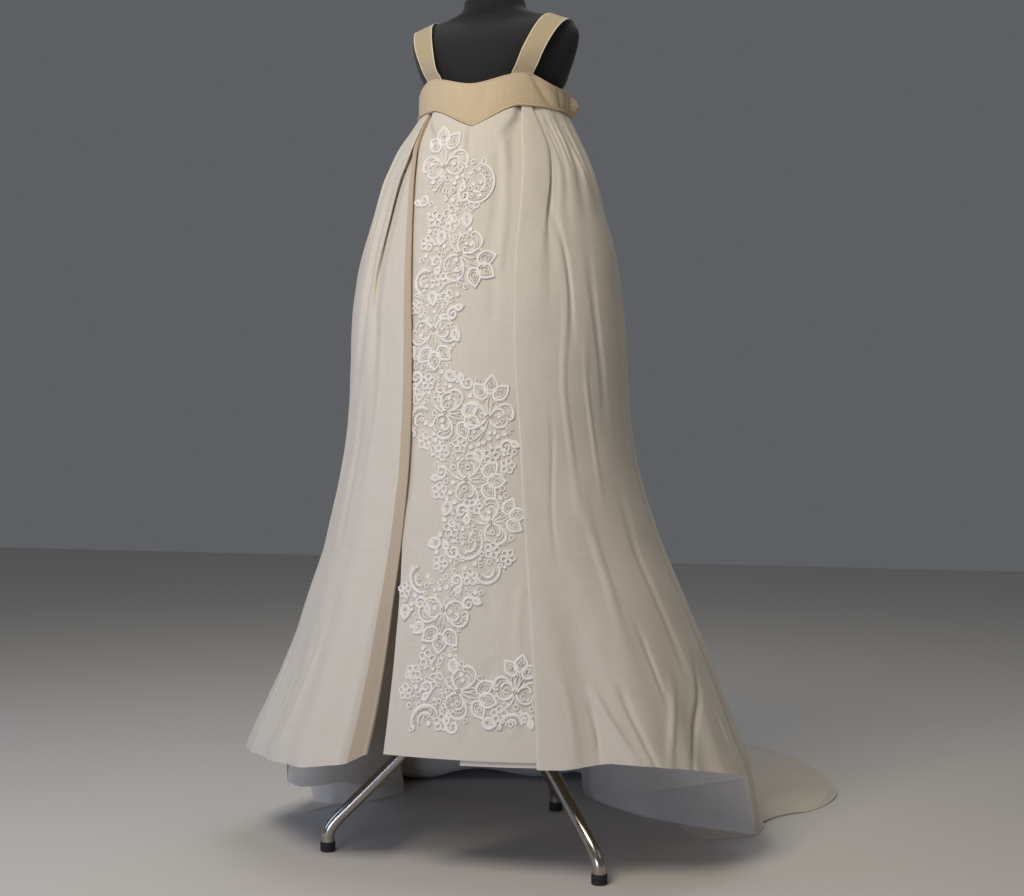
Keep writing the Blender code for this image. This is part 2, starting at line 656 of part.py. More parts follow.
def make_front_panel(finish):
    """The flat front panel; its lace is raised in the outer points, over a plain inside."""
    ratio = 4
    rows, columns = 17, 7
    plain = panel_grid(rows, columns)
    inner = plain - normals_of(plain) * CLOTH
    inner[0, :, 2] = plain[0, :, 2]
    fine = panel_grid((rows - 1) * ratio + 1, (columns - 1) * ratio + 1)
    high = applique(fine[..., 0], fine[..., 2])
    for i in range(fine.shape[0]):
        for j in range(fine.shape[1]):
            x, _, z = fine[i, j]
            left, right = shown_between(z)
            clear = min((x - left) / 0.006, (right - x) / 0.006, (fine[0, j, 2] - z) / 0.014,
                        (z - HEM_FRONT_PANEL) / 0.010)
            high[i, j] *= float(smooth_step(clear))
    raised = fine + normals_of(fine) * (high * APPLIQUE_HIGH)[..., None]
    relief_wall("front_panel", raised, inner, ratio, finish)


def make_ribbon(name, sign, finish):
    """A sheer ribbon sewn inside the yoke at both ends, over the form's shoulder."""
    oval = (YOKE_ACROSS, YOKE_DEEP, YOKE_DEEP)
    lines = []
    for end in RIBBON_ENDS[:2]:
        lines.append([(*inside(end[0] + RIBBON_TURN * t, BAND + SEAM, oval), end[1]) for t in (-1, 0, 1)])
    for out, back, high, drop, curve in RIBBON_PATH:
        across = np.array((1.0, curve, -drop))
        across *= RIBBON_WIDE / 2 / np.linalg.norm(across)
        middle = np.array((out, back, high))
        lines.append([middle - across, middle, middle + across])
    for end in RIBBON_ENDS[2:]:
        lines.append([(*inside(end[0] - RIBBON_TURN * t, BAND + SEAM, oval), end[1]) for t in (-1, 0, 1)])
    outer = np.array(lines, float).transpose(1, 0, 2)
    inner = outer - normals_of(outer) * RIBBON_THICK
    for side in (outer, inner):
        side[..., 0] *= sign
    cloth_wall(name, outer, inner, finish)


def make_form(finish):
    points = []
    for z, across, deep, back in TORSO:
        for k in range(TORSO_SIDES):
            a = 2 * math.pi * k / TORSO_SIDES
            points.append((across * math.cos(a), back + deep * math.sin(a), z))
    faces = []
    for i in range(len(TORSO) - 1):
        for k in range(TORSO_SIDES):
            a, b = i * TORSO_SIDES + k, i * TORSO_SIDES + (k + 1) % TORSO_SIDES
            faces.append((a, b, b + TORSO_SIDES, a + TORSO_SIDES))
    faces.append(tuple(range(TORSO_SIDES)))
    faces.append(tuple((len(TORSO) - 1) * TORSO_SIDES + k for k in range(TORSO_SIDES)))
    solid("form", points, faces, finish)


def cylinder(name, radius, low, high, finish, sides=24, place=(0.0, 0.0)):
    points = []
    for z in (low, high):
        for k in range(sides):
            a = 2 * math.pi * k / sides
            points.append((place[0] + radius * math.cos(a), place[1] + radius * math.sin(a), z))
    faces = [(k, (k + 1) % sides, sides + (k + 1) % sides, sides + k) for k in range(sides)]
    faces += [tuple(range(sides)), tuple(range(sides, 2 * sides))]
    return solid(name, points, faces, finish)


def leg_line():
    """The leg's middle line, as distance out and height: a straight slope and a bent foot."""
    knee, foot = np.array(LEG_KNEE), np.array(LEG_FOOT)
    bend = [bezier(knee, (LEG_FOOT[0], 0.0400), foot, t) for t in np.linspace(0, 1, 7)]
    return [np.array(LEG_ROOT)] + bend + [np.array((LEG_FOOT[0], FOOT_CAP_HIGH + SEAM))]


def make_leg(number, azimuth, steel, rubber):
    a = math.radians(azimuth)
    out = np.array((math.sin(a), -math.cos(a), 0.0))
    aside = np.array((math.cos(a), math.sin(a), 0.0))
    up = np.array((0.0, 0.0, 1.0))
    line = [out * r + up * z for r, z in leg_line()]
    points = []
    for i, place in enumerate(line):
        ahead = line[min(i + 1, len(line) - 1)] - line[max(i - 1, 0)]
        if i == len(line) - 1:
            ahead = -up
        ahead = ahead / np.linalg.norm(ahead)
        over = np.cross(aside, ahead)
        for k in range(LEG_SIDES):
            b = 2 * math.pi * k / LEG_SIDES
            points.append(place + LEG_R * (math.cos(b) * aside + math.sin(b) * over))
    faces = []
    for i in range(len(line) - 1):
        for k in range(LEG_SIDES):
            b, c = i * LEG_SIDES + k, i * LEG_SIDES + (k + 1) % LEG_SIDES
            faces.append((b, c, c + LEG_SIDES, b + LEG_SIDES))
    faces.append(tuple(range(LEG_SIDES)))
    faces.append(tuple((len(line) - 1) * LEG_SIDES + k for k in range(LEG_SIDES)))
    solid(f"leg_{number}", points, faces, steel)
    foot = out * LEG_FOOT[0]
    cylinder(f"foot_{number}", FOOT_CAP_R, 0.0, FOOT_CAP_HIGH, rubber, 20, (foot[0], foot[1]))


def make_stand():
    steel = material("polished_steel", (0.56, 0.55, 0.53), 0.22, 1.0)
    rubber = material("black_rubber", (0.02, 0.02, 0.02), 0.7)
    cylinder("column", COLUMN_R, HUB_HIGH + SEAM, COLUMN_TOP, steel)
    cylinder("hub", HUB_R, HUB_LOW, HUB_HIGH, steel)
    for number, azimuth in enumerate(LEG_AZIMUTHS, 1):
        make_leg(number, azimuth, steel, rubber)


def centre_on_floor():
    """Moves every piece so that the part's box has its bottom centre at the origin."""
    made = [o for o in bpy.data.objects if o.type == "MESH"]
    points = np.array([tuple(v.co) for o in made for v in o.data.vertices])
    low, high = points.min(axis=0), points.max(axis=0)
    move = np.array((-(low[0] + high[0]) / 2, -(low[1] + high[1]) / 2, -low[2]))
    for o in made:
        for v in o.data.vertices:
            v.co = [v.co[k] + move[k] for k in range(3)]


def main():
    for o in list(bpy.data.objects):
        bpy.data.objects.remove(o, do_unlink=True)
    silk = material("ivory_silk", (0.80, 0.73, 0.60), 0.62)
    warm = material("yoke_silk", (0.74, 0.65, 0.49), 0.65)
    lace = material("panel_silk_and_lace", (0.84, 0.79, 0.69), 0.7)
    net = material("sheer_ribbon", (0.58, 0.50, 0.33), 0.8)
    black = material("black_jersey", (0.012, 0.012, 0.013), 0.9)
    make_form(black)
    make_stand()
    make_front_panel(lace)
    for name in FOLDS:
        make_side(name, silk)
        make_train(name, silk)
    make_yoke(warm)
    make_piping(warm)
    make_ribbon("ribbon_left", -1.0, net)
    make_ribbon("ribbon_right", 1.0, net)
    centre_on_floor()


main()
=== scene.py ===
# %% [markdown]
# # A wedding dress on its stand
# The real object is an empire-line gown of slubbed ivory silk: a short yoke, two sheer ribbon straps,
# a straight front panel covered with corded lace lilies, side panels that open over it, and a short
# train. It hangs on a black form with a steel tripod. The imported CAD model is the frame: its solids say
# where each piece is. Each piece of cloth here is a finer shell on the same lines, with the softness
# that a solid leaves out, so both are worked out from the same few sizes.

# %% Load the frame
import math

import bmesh
import bpy
import numpy as np
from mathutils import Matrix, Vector, noise


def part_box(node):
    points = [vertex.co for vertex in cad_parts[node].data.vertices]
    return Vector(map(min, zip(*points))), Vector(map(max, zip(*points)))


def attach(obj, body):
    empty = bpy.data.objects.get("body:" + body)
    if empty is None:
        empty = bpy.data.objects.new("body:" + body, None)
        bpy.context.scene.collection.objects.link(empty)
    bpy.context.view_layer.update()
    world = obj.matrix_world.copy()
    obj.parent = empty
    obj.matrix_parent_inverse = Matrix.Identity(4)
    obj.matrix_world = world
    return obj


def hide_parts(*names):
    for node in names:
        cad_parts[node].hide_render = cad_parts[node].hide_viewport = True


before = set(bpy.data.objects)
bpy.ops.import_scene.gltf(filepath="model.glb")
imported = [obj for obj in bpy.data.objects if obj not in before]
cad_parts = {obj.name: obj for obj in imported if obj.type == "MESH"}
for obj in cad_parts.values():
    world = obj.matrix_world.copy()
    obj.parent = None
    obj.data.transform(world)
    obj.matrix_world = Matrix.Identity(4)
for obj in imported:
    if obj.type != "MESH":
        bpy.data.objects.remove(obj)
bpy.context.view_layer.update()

column_low, column_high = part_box("column")
AXIS = np.array([(column_low[k] + column_high[k]) / 2 for k in range(2)] + [0.0])

# %% [markdown]
# ## Camera, floor and light
# The photograph is taken with a level camera at the height of the knees, 18 degrees round to the right.
# Left and right are as the picture shows them, here and in all names. The lens is a mild telephoto, so
# that the gown keeps its proportions. The floor is plain and pale. The light is one soft box high in
# front, a little to the left, so that the top of the gown is the brightest and its right-hand side falls
# off into shade. A weak cool box at the left, one near the floor for the layers under the hem, a weaker
# warm one at the right, one overhead and a dim plain sky fill the shadows.

# %% Camera
CAMERA_AZIMUTH = math.radians(18.0)
CAMERA_AWAY, CAMERA_ASIDE, CAMERA_HIGH = 2.63, 0.031, 0.685
LENS_MM = 53.7


def linked(name, data):
    """A new object with this data, in the scene."""
    made = bpy.data.objects.new(name, data)
    bpy.context.collection.objects.link(made)
    return made


ahead = np.array((-math.sin(CAMERA_AZIMUTH), math.cos(CAMERA_AZIMUTH), 0.0))
aside = np.array((math.cos(CAMERA_AZIMUTH), math.sin(CAMERA_AZIMUTH), 0.0))
camera = linked("camera", bpy.data.cameras.new("camera"))
camera.data.lens = LENS_MM
camera.data.sensor_fit = "HORIZONTAL"
camera.location = Vector(AXIS + aside * CAMERA_ASIDE - ahead * CAMERA_AWAY + (0.0, 0.0, CAMERA_HIGH))
camera.rotation_euler = (math.pi / 2, 0.0, CAMERA_AZIMUTH)
bpy.context.scene.camera = camera
print("the camera stands at", tuple(round(c, 3) for c in camera.location))


# %% Colours and nodes
def linear(colour):
    """An sRGB hex colour as the linear numbers that Blender's sockets take."""
    parts = [int(colour[k:k + 2], 16) / 255 for k in (1, 3, 5)]
    return [c / 12.92 if c <= 0.04045 else ((c + 0.055) / 1.055) ** 2.4 for c in parts] + [1.0]


def add(tree, kind, inputs=None, **settings):
    """Adds one node. Each input is a value, or another node's output to link to it."""
    node = tree.nodes.new(kind)
    for key, value in settings.items():
        setattr(node, key, value)
    for key, value in (inputs or {}).items():
        if isinstance(value, bpy.types.NodeSocket):
            tree.links.new(value, node.inputs[key])
        else:
            node.inputs[key].default_value = value
    return node


def finish_named(name, colour, roughness, metallic=0.0):
    """A new material with one Principled shader, and its node tree and shader to build on."""
    made = bpy.data.materials.new(name)
    made.use_nodes = True
    shader = made.node_tree.nodes["Principled BSDF"]
    shader.inputs["Base Color"].default_value = linear(colour)
    shader.inputs["Roughness"].default_value = roughness
    shader.inputs["Metallic"].default_value = metallic
    return made, made.node_tree, shader


def texture(tree, vector, stretch=None, **inputs):
    """Noise at a place, or at the place times a stretch along each axis."""
    if stretch:
        vector = add(tree, "ShaderNodeMapping", {"Vector": vector, "Scale": stretch}).outputs["Vector"]
    return add(tree, "ShaderNodeTexNoise", {"Vector": vector, **inputs}).outputs["Fac"]


def ranged(tree, value, least, most, *to):
    """A value's range turned into 0 to 1, or into the two ends that are given."""
    inputs = {"Value": value, "From Min": least, "From Max": most, **dict(zip(("To Min", "To Max"), to))}
    return add(tree, "ShaderNodeMapRange", inputs).outputs[0]


def combined(tree, operation, first, second):
    """Two numbers, an output or a value each, taken together."""
    return add(tree, "ShaderNodeMath", {0: first, 1: second}, operation=operation).outputs[0]


def mixed(tree, factor, first, second):
    """One colour, an output or hex digits, faded into another."""
    first, second = (linear(c) if isinstance(c, str) else c for c in (first, second))
    return add(tree, "ShaderNodeMix", {"Factor": factor, "A": first, "B": second},
               data_type="RGBA").outputs["Result"]


def surfaced(tree, shader, colour, height, strength, distance, sheen=0.0):
    """Gives a shader its colour, its relief and its sheen."""
    raised = add(tree, "ShaderNodeBump", {"Height": height, "Strength": strength, "Distance": distance})
    tree.links.new(raised.outputs["Normal"], shader.inputs["Normal"])
    if colour:
        tree.links.new(colour, shader.inputs["Base Color"])
    shader.inputs["Sheen Weight"].default_value = sheen


print("ivory is", [round(c, 3) for c in linear("#E6DCC8")], "as linear numbers")

# %% Floor and lights
FLOOR_HALF, AIM_HIGH = 6.0, 0.7
LIGHTS = (
    # name, side, behind, height, width, tall, watts, colour
    ("key_soft_box", -0.3, -1.8, 2.5, 1.0, 1.0, 35.0, "#FFF3DF"),
    ("cool_soft_box", -2.2, -1.1, 1.3, 0.9, 1.5, 9.0, "#B4CCFF"),
    ("low_cool_soft_box", -0.6, -3.3, 0.45, 1.4, 0.5, 22.0, "#C2D2FF"),
    ("warm_soft_box", 2.2, -0.9, 1.9, 0.7, 0.9, 1.5, "#FFDDB0"),
    ("top_soft_box", 0.0, 0.9, 3.2, 1.8, 1.8, 14.0, "#FFFFFF"),
)

floor_finish, floor_tree, floor_shader = finish_named("pale_paper_floor", "#D9D6D1", 0.85)
paper_grain = texture(floor_tree, add(floor_tree, "ShaderNodeTexCoord").outputs["Object"], Scale=60.0)
floor_bump = add(floor_tree, "ShaderNodeBump", {"Height": paper_grain, "Strength": 0.05})
floor_tree.links.new(floor_bump.outputs["Normal"], floor_shader.inputs["Normal"])
floor_mesh = bpy.data.meshes.new("floor")
floor_mesh.from_pydata([(x * FLOOR_HALF, y * FLOOR_HALF, -0.0005)
                        for x, y in ((-1, -1), (1, -1), (1, 1), (-1, 1))], [], [(0, 1, 2, 3)])
floor_mesh.materials.append(floor_finish)
floor = linked("floor", floor_mesh)

for name, side, behind, high, wide, tall, watts, colour in LIGHTS:
    lamp = bpy.data.lights.new(name, "AREA")
    lamp.shape = "RECTANGLE"
    lamp.size, lamp.size_y = wide, tall
    lamp.energy = watts
    lamp.color = linear(colour)[:3]
    holder = linked(name, lamp)
    holder.location = AXIS + (side, behind, high)
    aim = Vector(AXIS + (0.0, 0.0, AIM_HIGH)) - holder.location
    holder.rotation_euler = aim.to_track_quat("-Z", "Y").to_euler()

sky = bpy.data.worlds.new("plain_sky")
sky.use_nodes = True
sky.node_tree.nodes["Background"].inputs["Color"].default_value = linear("#DFE3EA")
sky.node_tree.nodes["Background"].inputs["Strength"].default_value = 0.15
bpy.context.scene.world = sky
bpy.context.scene.view_settings.view_transform = "Standard"
print("lights:", ", ".join(row[0] for row in LIGHTS))

# %% [markdown]
# ## How the cloth falls
# A skirt that hangs from a round yoke is an oval at each height. One short table gives the ovals and how
# far each fold has travelled outwards, and everything else is worked out from it. The solids read the
# same table in straight steps; here a smooth curve goes through it, so that no level shows as a kink.

# %% Sizes shared with the solids
# Thickness of the cloth and of the yoke's band; gaps at a seam and below the yoke.
CLOTH = 0.0012
BAND = 0.0025
SEAM = 0.0003
ROOM = 0.0008
YOKE_ACROSS, YOKE_DEEP, YOKE_LOW = 0.131, 0.110, 1.250
YOKE_POINT, YOKE_POINT_HALF = 0.034, 0.072
YOKE_TOP_SIDE, YOKE_TOP_STRAP, YOKE_STRAP_AT = 1.287, 1.304, 0.086
YOKE_SIDE_SEAM = 97.0
YOKE_OVAL = (YOKE_ACROSS, YOKE_DEEP, YOKE_DEEP)
HEM_FRONT_PANEL, HEM_SEAM = 0.196, 0.008

# Columns: height; half width; depth of the front; depth of the back; how far across and how far back
# a fold has travelled from the yoke to the floor; centre front to the left and right front edges.
FALL = np.array([
    (0.000, 0.455, 0.272, 0.500, 1.000, 1.000, 0.150, 0.172),
    (0.060, 0.452, 0.268, 0.484, 0.990, 0.960, 0.145, 0.168),
    (0.170, 0.439, 0.260, 0.446, 0.950, 0.885, 0.134, 0.160),
    (0.250, 0.406, 0.250, 0.416, 0.848, 0.815, 0.121, 0.151),
    (0.340, 0.369, 0.239, 0.384, 0.734, 0.740, 0.109, 0.142),
    (0.420, 0.334, 0.230, 0.354, 0.626, 0.680, 0.099, 0.134),
    (0.510, 0.299, 0.219, 0.322, 0.515, 0.610, 0.088, 0.126),
    (0.600, 0.274, 0.208, 0.294, 0.437, 0.545, 0.080, 0.118),
    (0.680, 0.257, 0.198, 0.270, 0.385, 0.480, 0.076, 0.112),
    (0.750, 0.247, 0.190, 0.250, 0.354, 0.430, 0.076, 0.105),
    (0.850, 0.243, 0.178, 0.222, 0.343, 0.370, 0.080, 0.096),
    (0.930, 0.237, 0.168, 0.202, 0.325, 0.320, 0.085, 0.093),
    (1.010, 0.224, 0.157, 0.180, 0.284, 0.260, 0.090, 0.092),
    (1.080, 0.204, 0.147, 0.160, 0.223, 0.190, 0.094, 0.094),
    (1.150, 0.184, 0.135, 0.142, 0.162, 0.130, 0.097, 0.093),
    (1.200, 0.161, 0.123, 0.126, 0.094, 0.060, 0.098, 0.086),
    (1.250, 0.131, 0.110, 0.110, 0.000, 0.000, 0.088, 0.078),
])
HEIGHT, SIDE, FRONT, BACK, ACROSS, BACK_BY, LEFT_EDGE, RIGHT_EDGE = range(8)
# The real skirt doesn't hang quite evenly. Columns: height; how far its left and its right side swing to
# the left.
SWAY = np.array([
    (0.000, 0.000, 0.006), (0.060, 0.012, 0.010), (0.120, 0.008, 0.017), (0.190, 0.005, 0.025),
    (0.240, 0.001, 0.021), (0.340, -0.003, 0.017), (0.440, 0.004, 0.014), (0.545, 0.006, 0.018),
    (0.650, 0.007, 0.022), (0.750, 0.012, 0.020), (0.850, 0.013, 0.019), (0.955, 0.016, 0.0165),
    (1.055, 0.014, 0.012), (1.160, 0.010, 0.008), (1.210, 0.007, 0.005), (1.250, 0.000, 0.000),
])
print("the hem is", round(2 * FALL[2, SIDE], 3), "m wide")


# %% Curves and ovals
def curve_through(at, knots, values):
    """Values at places on the smooth curve through a table's rows."""
    slopes = np.gradient(values, knots)
    k = np.clip(np.searchsorted(knots, at) - 1, 0, len(knots) - 2)
    gap = knots[k + 1] - knots[k]
    t = np.clip((at - knots[k]) / gap, 0.0, 1.0)
    return ((2 * t ** 3 - 3 * t ** 2 + 1) * values[k] + (t ** 3 - 2 * t ** 2 + t) * gap * slopes[k]
            + (3 * t ** 2 - 2 * t ** 3) * values[k + 1] + (t ** 3 - t ** 2) * gap * slopes[k + 1])


def at_height(z, column):
    """A column of the skirt's table at any height."""
    return curve_through(np.asarray(z, float), FALL[:, HEIGHT], FALL[:, column])


def oval_at(z):
    """The skirt's oval at a height: half width, depth of the front and depth of the back."""
    return tuple(at_height(z, k) for k in (SIDE, FRONT, BACK))


def way_down(z):
    """The share of the way from the yoke's lower edge to the floor."""
    return (YOKE_LOW - z) / YOKE_LOW


def fold_gap(share):
    """How deep a folded edge lies, at a share of the way down; the solids' folds are as deep."""
    return 2 * (0.0022 + 0.0038 * share)


def smooth_step(t):
    """0 up to 0 and 1 from 1 on, with no kink between."""
    t = np.clip(t, 0.0, 1.0)
    return t * t * (3.0 - 2.0 * t)


def below_seam(z):
    """0 at the yoke's seam, where cloth is held, and 1 from 30 mm below it."""
    return smooth_step((YOKE_LOW - z) / 0.03)


def unit(vectors):
    return vectors / np.linalg.norm(vectors, axis=-1, keepdims=True)


def bump(distance, half_width):
    """1 at the middle of a fold, 0 at its half width."""
    return np.where(np.abs(distance) < half_width, np.cos(distance / half_width * math.pi / 2) ** 2, 0.0)


def inside(angle, depth, oval):
    """Places on an oval, moved in from it by a depth; 0 degrees is the centre front."""
    a = np.radians(np.asarray(angle, float))
    deep = np.where(np.cos(a) > 0, oval[1], oval[2])
    place = np.stack([oval[0] * np.sin(a), -deep * np.cos(a)], axis=-1)
    away = unit(np.stack([np.sin(a) / oval[0], -np.cos(a) / deep], axis=-1))
    return place - away * np.asarray(depth)[..., None]


def hairpin(angle, depth_from, depth_to, way, oval, steps):
    """The rounded edge of a fold, from one depth of cloth to another; it bulges to the side (way 1)
    or to the centre front (way -1)."""
    centre = inside(angle, (depth_from + depth_to) / 2, oval)
    across = inside(angle, 1.0, oval) - inside(angle, 0.0, oval)
    along = np.array((across[1], -across[0]))
    if along[0] * way < 0:
        along = -along
    radius = (depth_to - depth_from) / 2
    a = np.pi * np.arange(1, steps)[:, None] / steps
    return centre - radius * np.cos(a) * across + abs(radius) * np.sin(a) * along


def bezier(a, b, c, t):
    """A curve from a to c that bends towards b."""
    t = np.asarray(t)[..., None]
    return (1 - t) ** 2 * a + 2 * t * (1 - t) * b + t * t * c


def swayed(points):
    """The skirt's points, swung to the left by as much as the real skirt is; its middle moves least."""
    x, z = points[..., 0], points[..., 2]
    share = np.clip(x / at_height(z, SIDE), -1.0, 1.0)
    left, right = (curve_through(z, SWAY[:, 0], SWAY[:, k]) for k in (1, 2))
    middle = 0.18 * (left + right)
    moved = points.copy()
    moved[..., 0] -= middle + (np.where(x < 0, left, right) - middle) * share ** 2
    return moved


print("at the knee the skirt is", round(2 * float(at_height(0.45, SIDE)), 3), "m wide")

# %% [markdown]
# ## Shells
# A piece of cloth is a grid of points: each row is a level of the garment, and each column follows the
# cloth down. Its wall is the grid and a second grid moved in by the cloth's thickness, joined round the
# border. A Solidify modifier could do that, but it can't keep a hem flat on the floor. The UV map gives
# each point its distance along the threads in metres, so the weave follows the cloth.


# %% Walls from grids
def normals_of(grid):
    """The direction that a grid faces at each of its points."""
    n = np.cross(np.gradient(grid, axis=0), np.gradient(grid, axis=1))
    return n / np.maximum(np.linalg.norm(n, axis=2, keepdims=True), 1e-12)


def thread_lengths(grid):
    """How far each point lies along the threads: across from the middle column, and down."""
    across = np.zeros(grid.shape[:2])
    across[:, 1:] = np.cumsum(np.linalg.norm(np.diff(grid, axis=1), axis=2), axis=1)
    across -= across[:, [grid.shape[1] // 2]]
    down = np.zeros(grid.shape[:2])
    down[1:] = np.cumsum(np.linalg.norm(np.diff(grid, axis=0), axis=2), axis=0)
    return np.stack([across, -down], axis=2)


def border_of(rows, columns):
    """The numbers of a grid's border points, once round."""
    top = list(range(columns))
    right = [i * columns + columns - 1 for i in range(1, rows)]
    bottom = [(rows - 1) * columns + j for j in range(columns - 2, -1, -1)]
    left = [i * columns for i in range(rows - 2, 0, -1)]
    return np.array(top + right + bottom + left)


SHARP_FROM = 60.0


def ring_faces(rings, sides, closed=False, first=0):
    """Faces between rings of points that follow one another in a list, from a first point on."""
    return [(first + i * sides + k, first + i * sides + (k + 1) % sides,
             first + (i + 1) % rings * sides + (k + 1) % sides, first + (i + 1) % rings * sides + k)
            for i in range(rings if closed else rings - 1) for k in range(sides)]


def end_faces(rings, sides):
    """One face for the first ring and one for the last."""
    return [tuple(range(sides)), tuple(range((rings - 1) * sides, rings * sides))]


def mesh_object(name, points, faces, finish, uv=None):
    """A smooth mesh with its faces turned outwards, in the row frame."""
    mesh = bpy.data.meshes.new(name)
    mesh.from_pydata((np.asarray(points) + AXIS).tolist(), [], faces)
    shape = bmesh.new()
    shape.from_mesh(mesh)
    bmesh.ops.recalc_face_normals(shape, faces=shape.faces)
    shape.to_mesh(mesh)
    shape.free()
    if uv is not None:
        corner = np.zeros(len(mesh.loops), int)
        mesh.loops.foreach_get("vertex_index", corner)
        mesh.uv_layers.new(name="threads").data.foreach_set("uv", uv[corner].ravel())
    mesh.shade_smooth()
    mesh.set_sharp_from_angle(angle=math.radians(SHARP_FROM))
    mesh.materials.append(finish)
    return linked(name, mesh)


def shell(name, outer, finish, inner=None, mirror=1.0):
    """The closed wall of one piece of cloth, swayed as the skirt is."""
    uv = thread_lengths(outer)
    if inner is None:
        inner = outer - normals_of(outer) * CLOTH
        inner[0, :, 2] = outer[0, :, 2]
    rows, columns = outer.shape[:2]
    points = np.concatenate([outer.reshape(-1, 3), inner.reshape(-1, 3)])
    points[:, 0] *= mirror
    points = swayed(points)
    at = np.arange(rows * columns).reshape(rows, columns)
    quads = np.stack([at[:-1, :-1], at[1:, :-1], at[1:, 1:], at[:-1, 1:]], -1).reshape(-1, 4)
    ring = border_of(rows, columns)
    after = np.roll(ring, -1)
    rim = np.stack([ring, after, after + rows * columns, ring + rows * columns], -1)
    faces = np.concatenate([quads, quads[:, ::-1] + rows * columns, rim]).tolist()
    uv = np.concatenate([uv.reshape(-1, 2)] * 2)
    made = mesh_object(name, points, faces, finish, uv)
    area = sum(p.area for p in made.data.polygons) / 2
    print(f"{name}: {len(faces)} faces, {area:.3f} square metres of cloth")
    return made


def soft_noise(grid, size, seed):
    """Smooth unevenness from -1 to 1 over a grid, with swells of about this size in metres."""
    flat = (grid.reshape(-1, 3) / size + seed).tolist()
    return np.array([noise.noise(p) for p in flat]).reshape(grid.shape[:2])


print("the shells are", 1000 * CLOTH, "mm thick")

# %% [markdown]
# ## Silk
# The cloth is a plain-woven silk with slubs, thicker stretches that the thread has from spinning. They
# run across the cloth as fine streaks a few centimetres long, and fainter down it. The real threads are
# 0.3 mm apart, too fine to show, so they are drawn 0.9 mm apart. The silk is matt with a weak sheen,
# ivory where light falls on it, and its threads are a little darker between the slubs. The one strip
# that is turned in along an open edge, away from the light, is given a light tan as painted shade; a
# point attribute says where it is.

# %% Slubbed silk
THREAD_MM = 0.9
SLUB_LONG_MM, SLUB_HIGH_MM, WARP_LONG_MM = 60.0, 1.3, 60.0
CLOUD_MM = (240.0, 300.0)


def slubbed_silk(name, pale, deep, blotch, turned_in):
    """Woven silk: its colour on and between the slubs, in faint clouds, and a painted shade where it is
    turned in.
    """
    made, tree, shader = finish_named(name, pale, 0.62)
    threads = add(tree, "ShaderNodeTexCoord").outputs["UV"]

    def streaks(long_mm, high_mm, detail):
        return texture(tree, threads, (1000 / long_mm, 1000 / high_mm, 1.0), Scale=1.0, Detail=detail,
                       Roughness=0.55)

    weft = streaks(SLUB_LONG_MM, SLUB_HIGH_MM, 3.0)
    warp = streaks(THREAD_MM * 1.3, WARP_LONG_MM, 2.0)
    fine = streaks(THREAD_MM * 5, THREAD_MM, 1.0)
    woven = combined(tree, "ADD", combined(tree, "ADD", weft, warp), fine)
    colour = mixed(tree, ranged(tree, woven, 1.0, 2.0), deep, pale)
    clouds = ranged(tree, streaks(*CLOUD_MM, 2.0), 0.35, 0.70, 0.0, 0.35)
    colour = mixed(tree, clouds, colour, blotch)
    # Where the cloth is turned in, its colour fades to a darker tan: painted shade, as that strip faces
    # away from the light.
    painted_strip_shade = add(tree, "ShaderNodeAttribute", attribute_name="turned_in").outputs["Fac"]
    colour = mixed(tree, ranged(tree, painted_strip_shade, 0.0003, 0.0018, 0.0, 0.70), colour, turned_in)
    surfaced(tree, shader, colour, woven, 0.32, 0.0005, sheen=0.25)
    shader.inputs["Sheen Roughness"].default_value = 0.45
    shader.inputs["Specular IOR Level"].default_value = 0.35
    return made


# The last colour of each silk is the painted shade of the turned-in strip.
ivory_silk = slubbed_silk("slubbed_ivory_silk", "#E3DCCE", "#D1C8B6", "#D8CFBD", "#B8A386")
yoke_silk = slubbed_silk("slubbed_warm_silk", "#DDCBAA", "#C6B08A", "#CDB892", "#C6B08A")
print("silk materials:", ivory_silk.name, yoke_silk.name)

# %% [markdown]
# ## Side panels
# Each side panel is gathered into the yoke with pressed pleats, folds back at its front edge, runs round
# the side to a deep outer fold, and goes in again under the train. Seen from above it is one line, so
# the panel is that line at every height. Soft flutes open towards the hem. Small creases are placed one
# by one afterwards: each is a straight stroke on the cloth, by angle and height, with a width and a depth.

# %% Folds of the side panels
FOLDS = {
    "left": {"sign": -1.0, "turn_in": (0.330, 0.100), "inner": (0.300, 0.335),
             "turn_out": (0.345, 0.172), "corner": (0.436, 0.205)},
    "right": {"sign": 1.0, "turn_in": (0.190, 0.190), "inner": (0.045, 0.428),
              "turn_out": (0.185, 0.250), "corner": (0.414, 0.213)},
}
OUTER_FOLD_ANGLE = (97.0, 104.0)
# At the yoke, the inner seam lies at this angle and this far inside the yoke's line.
INNER_SEAM_ANGLE, INNER_SEAM_DEEP = 121.0, 0.013
UNDERLAY_REACH = 0.012
# Soft valleys at the yoke. Columns: share of the way round the side; half width; depth; height at which
# it has faded out.
VALLEYS = {
    "left": ((0.60, 0.10, 0.0070, 0.88), (0.84, 0.10, 0.0045, 0.98)),
    "right": ((0.33, 0.07, 0.0030, 0.98), (0.52, 0.10, 0.0040, 1.00), (0.76, 0.11, 0.0032, 1.03)),
}
VALLEYS_FULL = 1.19
# Pressed pleats: the share of the side's columns at its edge; which side its upper layer lies on (1 is
# outwards); overlap; depth; heights where it starts to fade and has faded; the edge's height and angle.
PLEATS = {
    "left": (0.30, 1.0, 0.011, 0.0100, 1.10, 0.84,
             ((0.0, 44.0), (0.60, 41.4), (0.80, 42.2), (0.93, 44.4), (1.04, 44.4), (1.12, 44.7),
              (1.16, 43.5), (1.21, 42.9), (1.25, 45.8))),
    "right": (0.16, -1.0, 0.006, 0.0055, 1.16, 0.98,
              ((0.0, 37.0), (0.60, 40.0), (0.80, 37.8), (0.93, 37.4), (1.03, 39.5), (1.08, 42.2),
               (1.12, 45.3), (1.19, 47.7), (1.25, 43.0))),
}
PLEAT_COLUMNS = 13
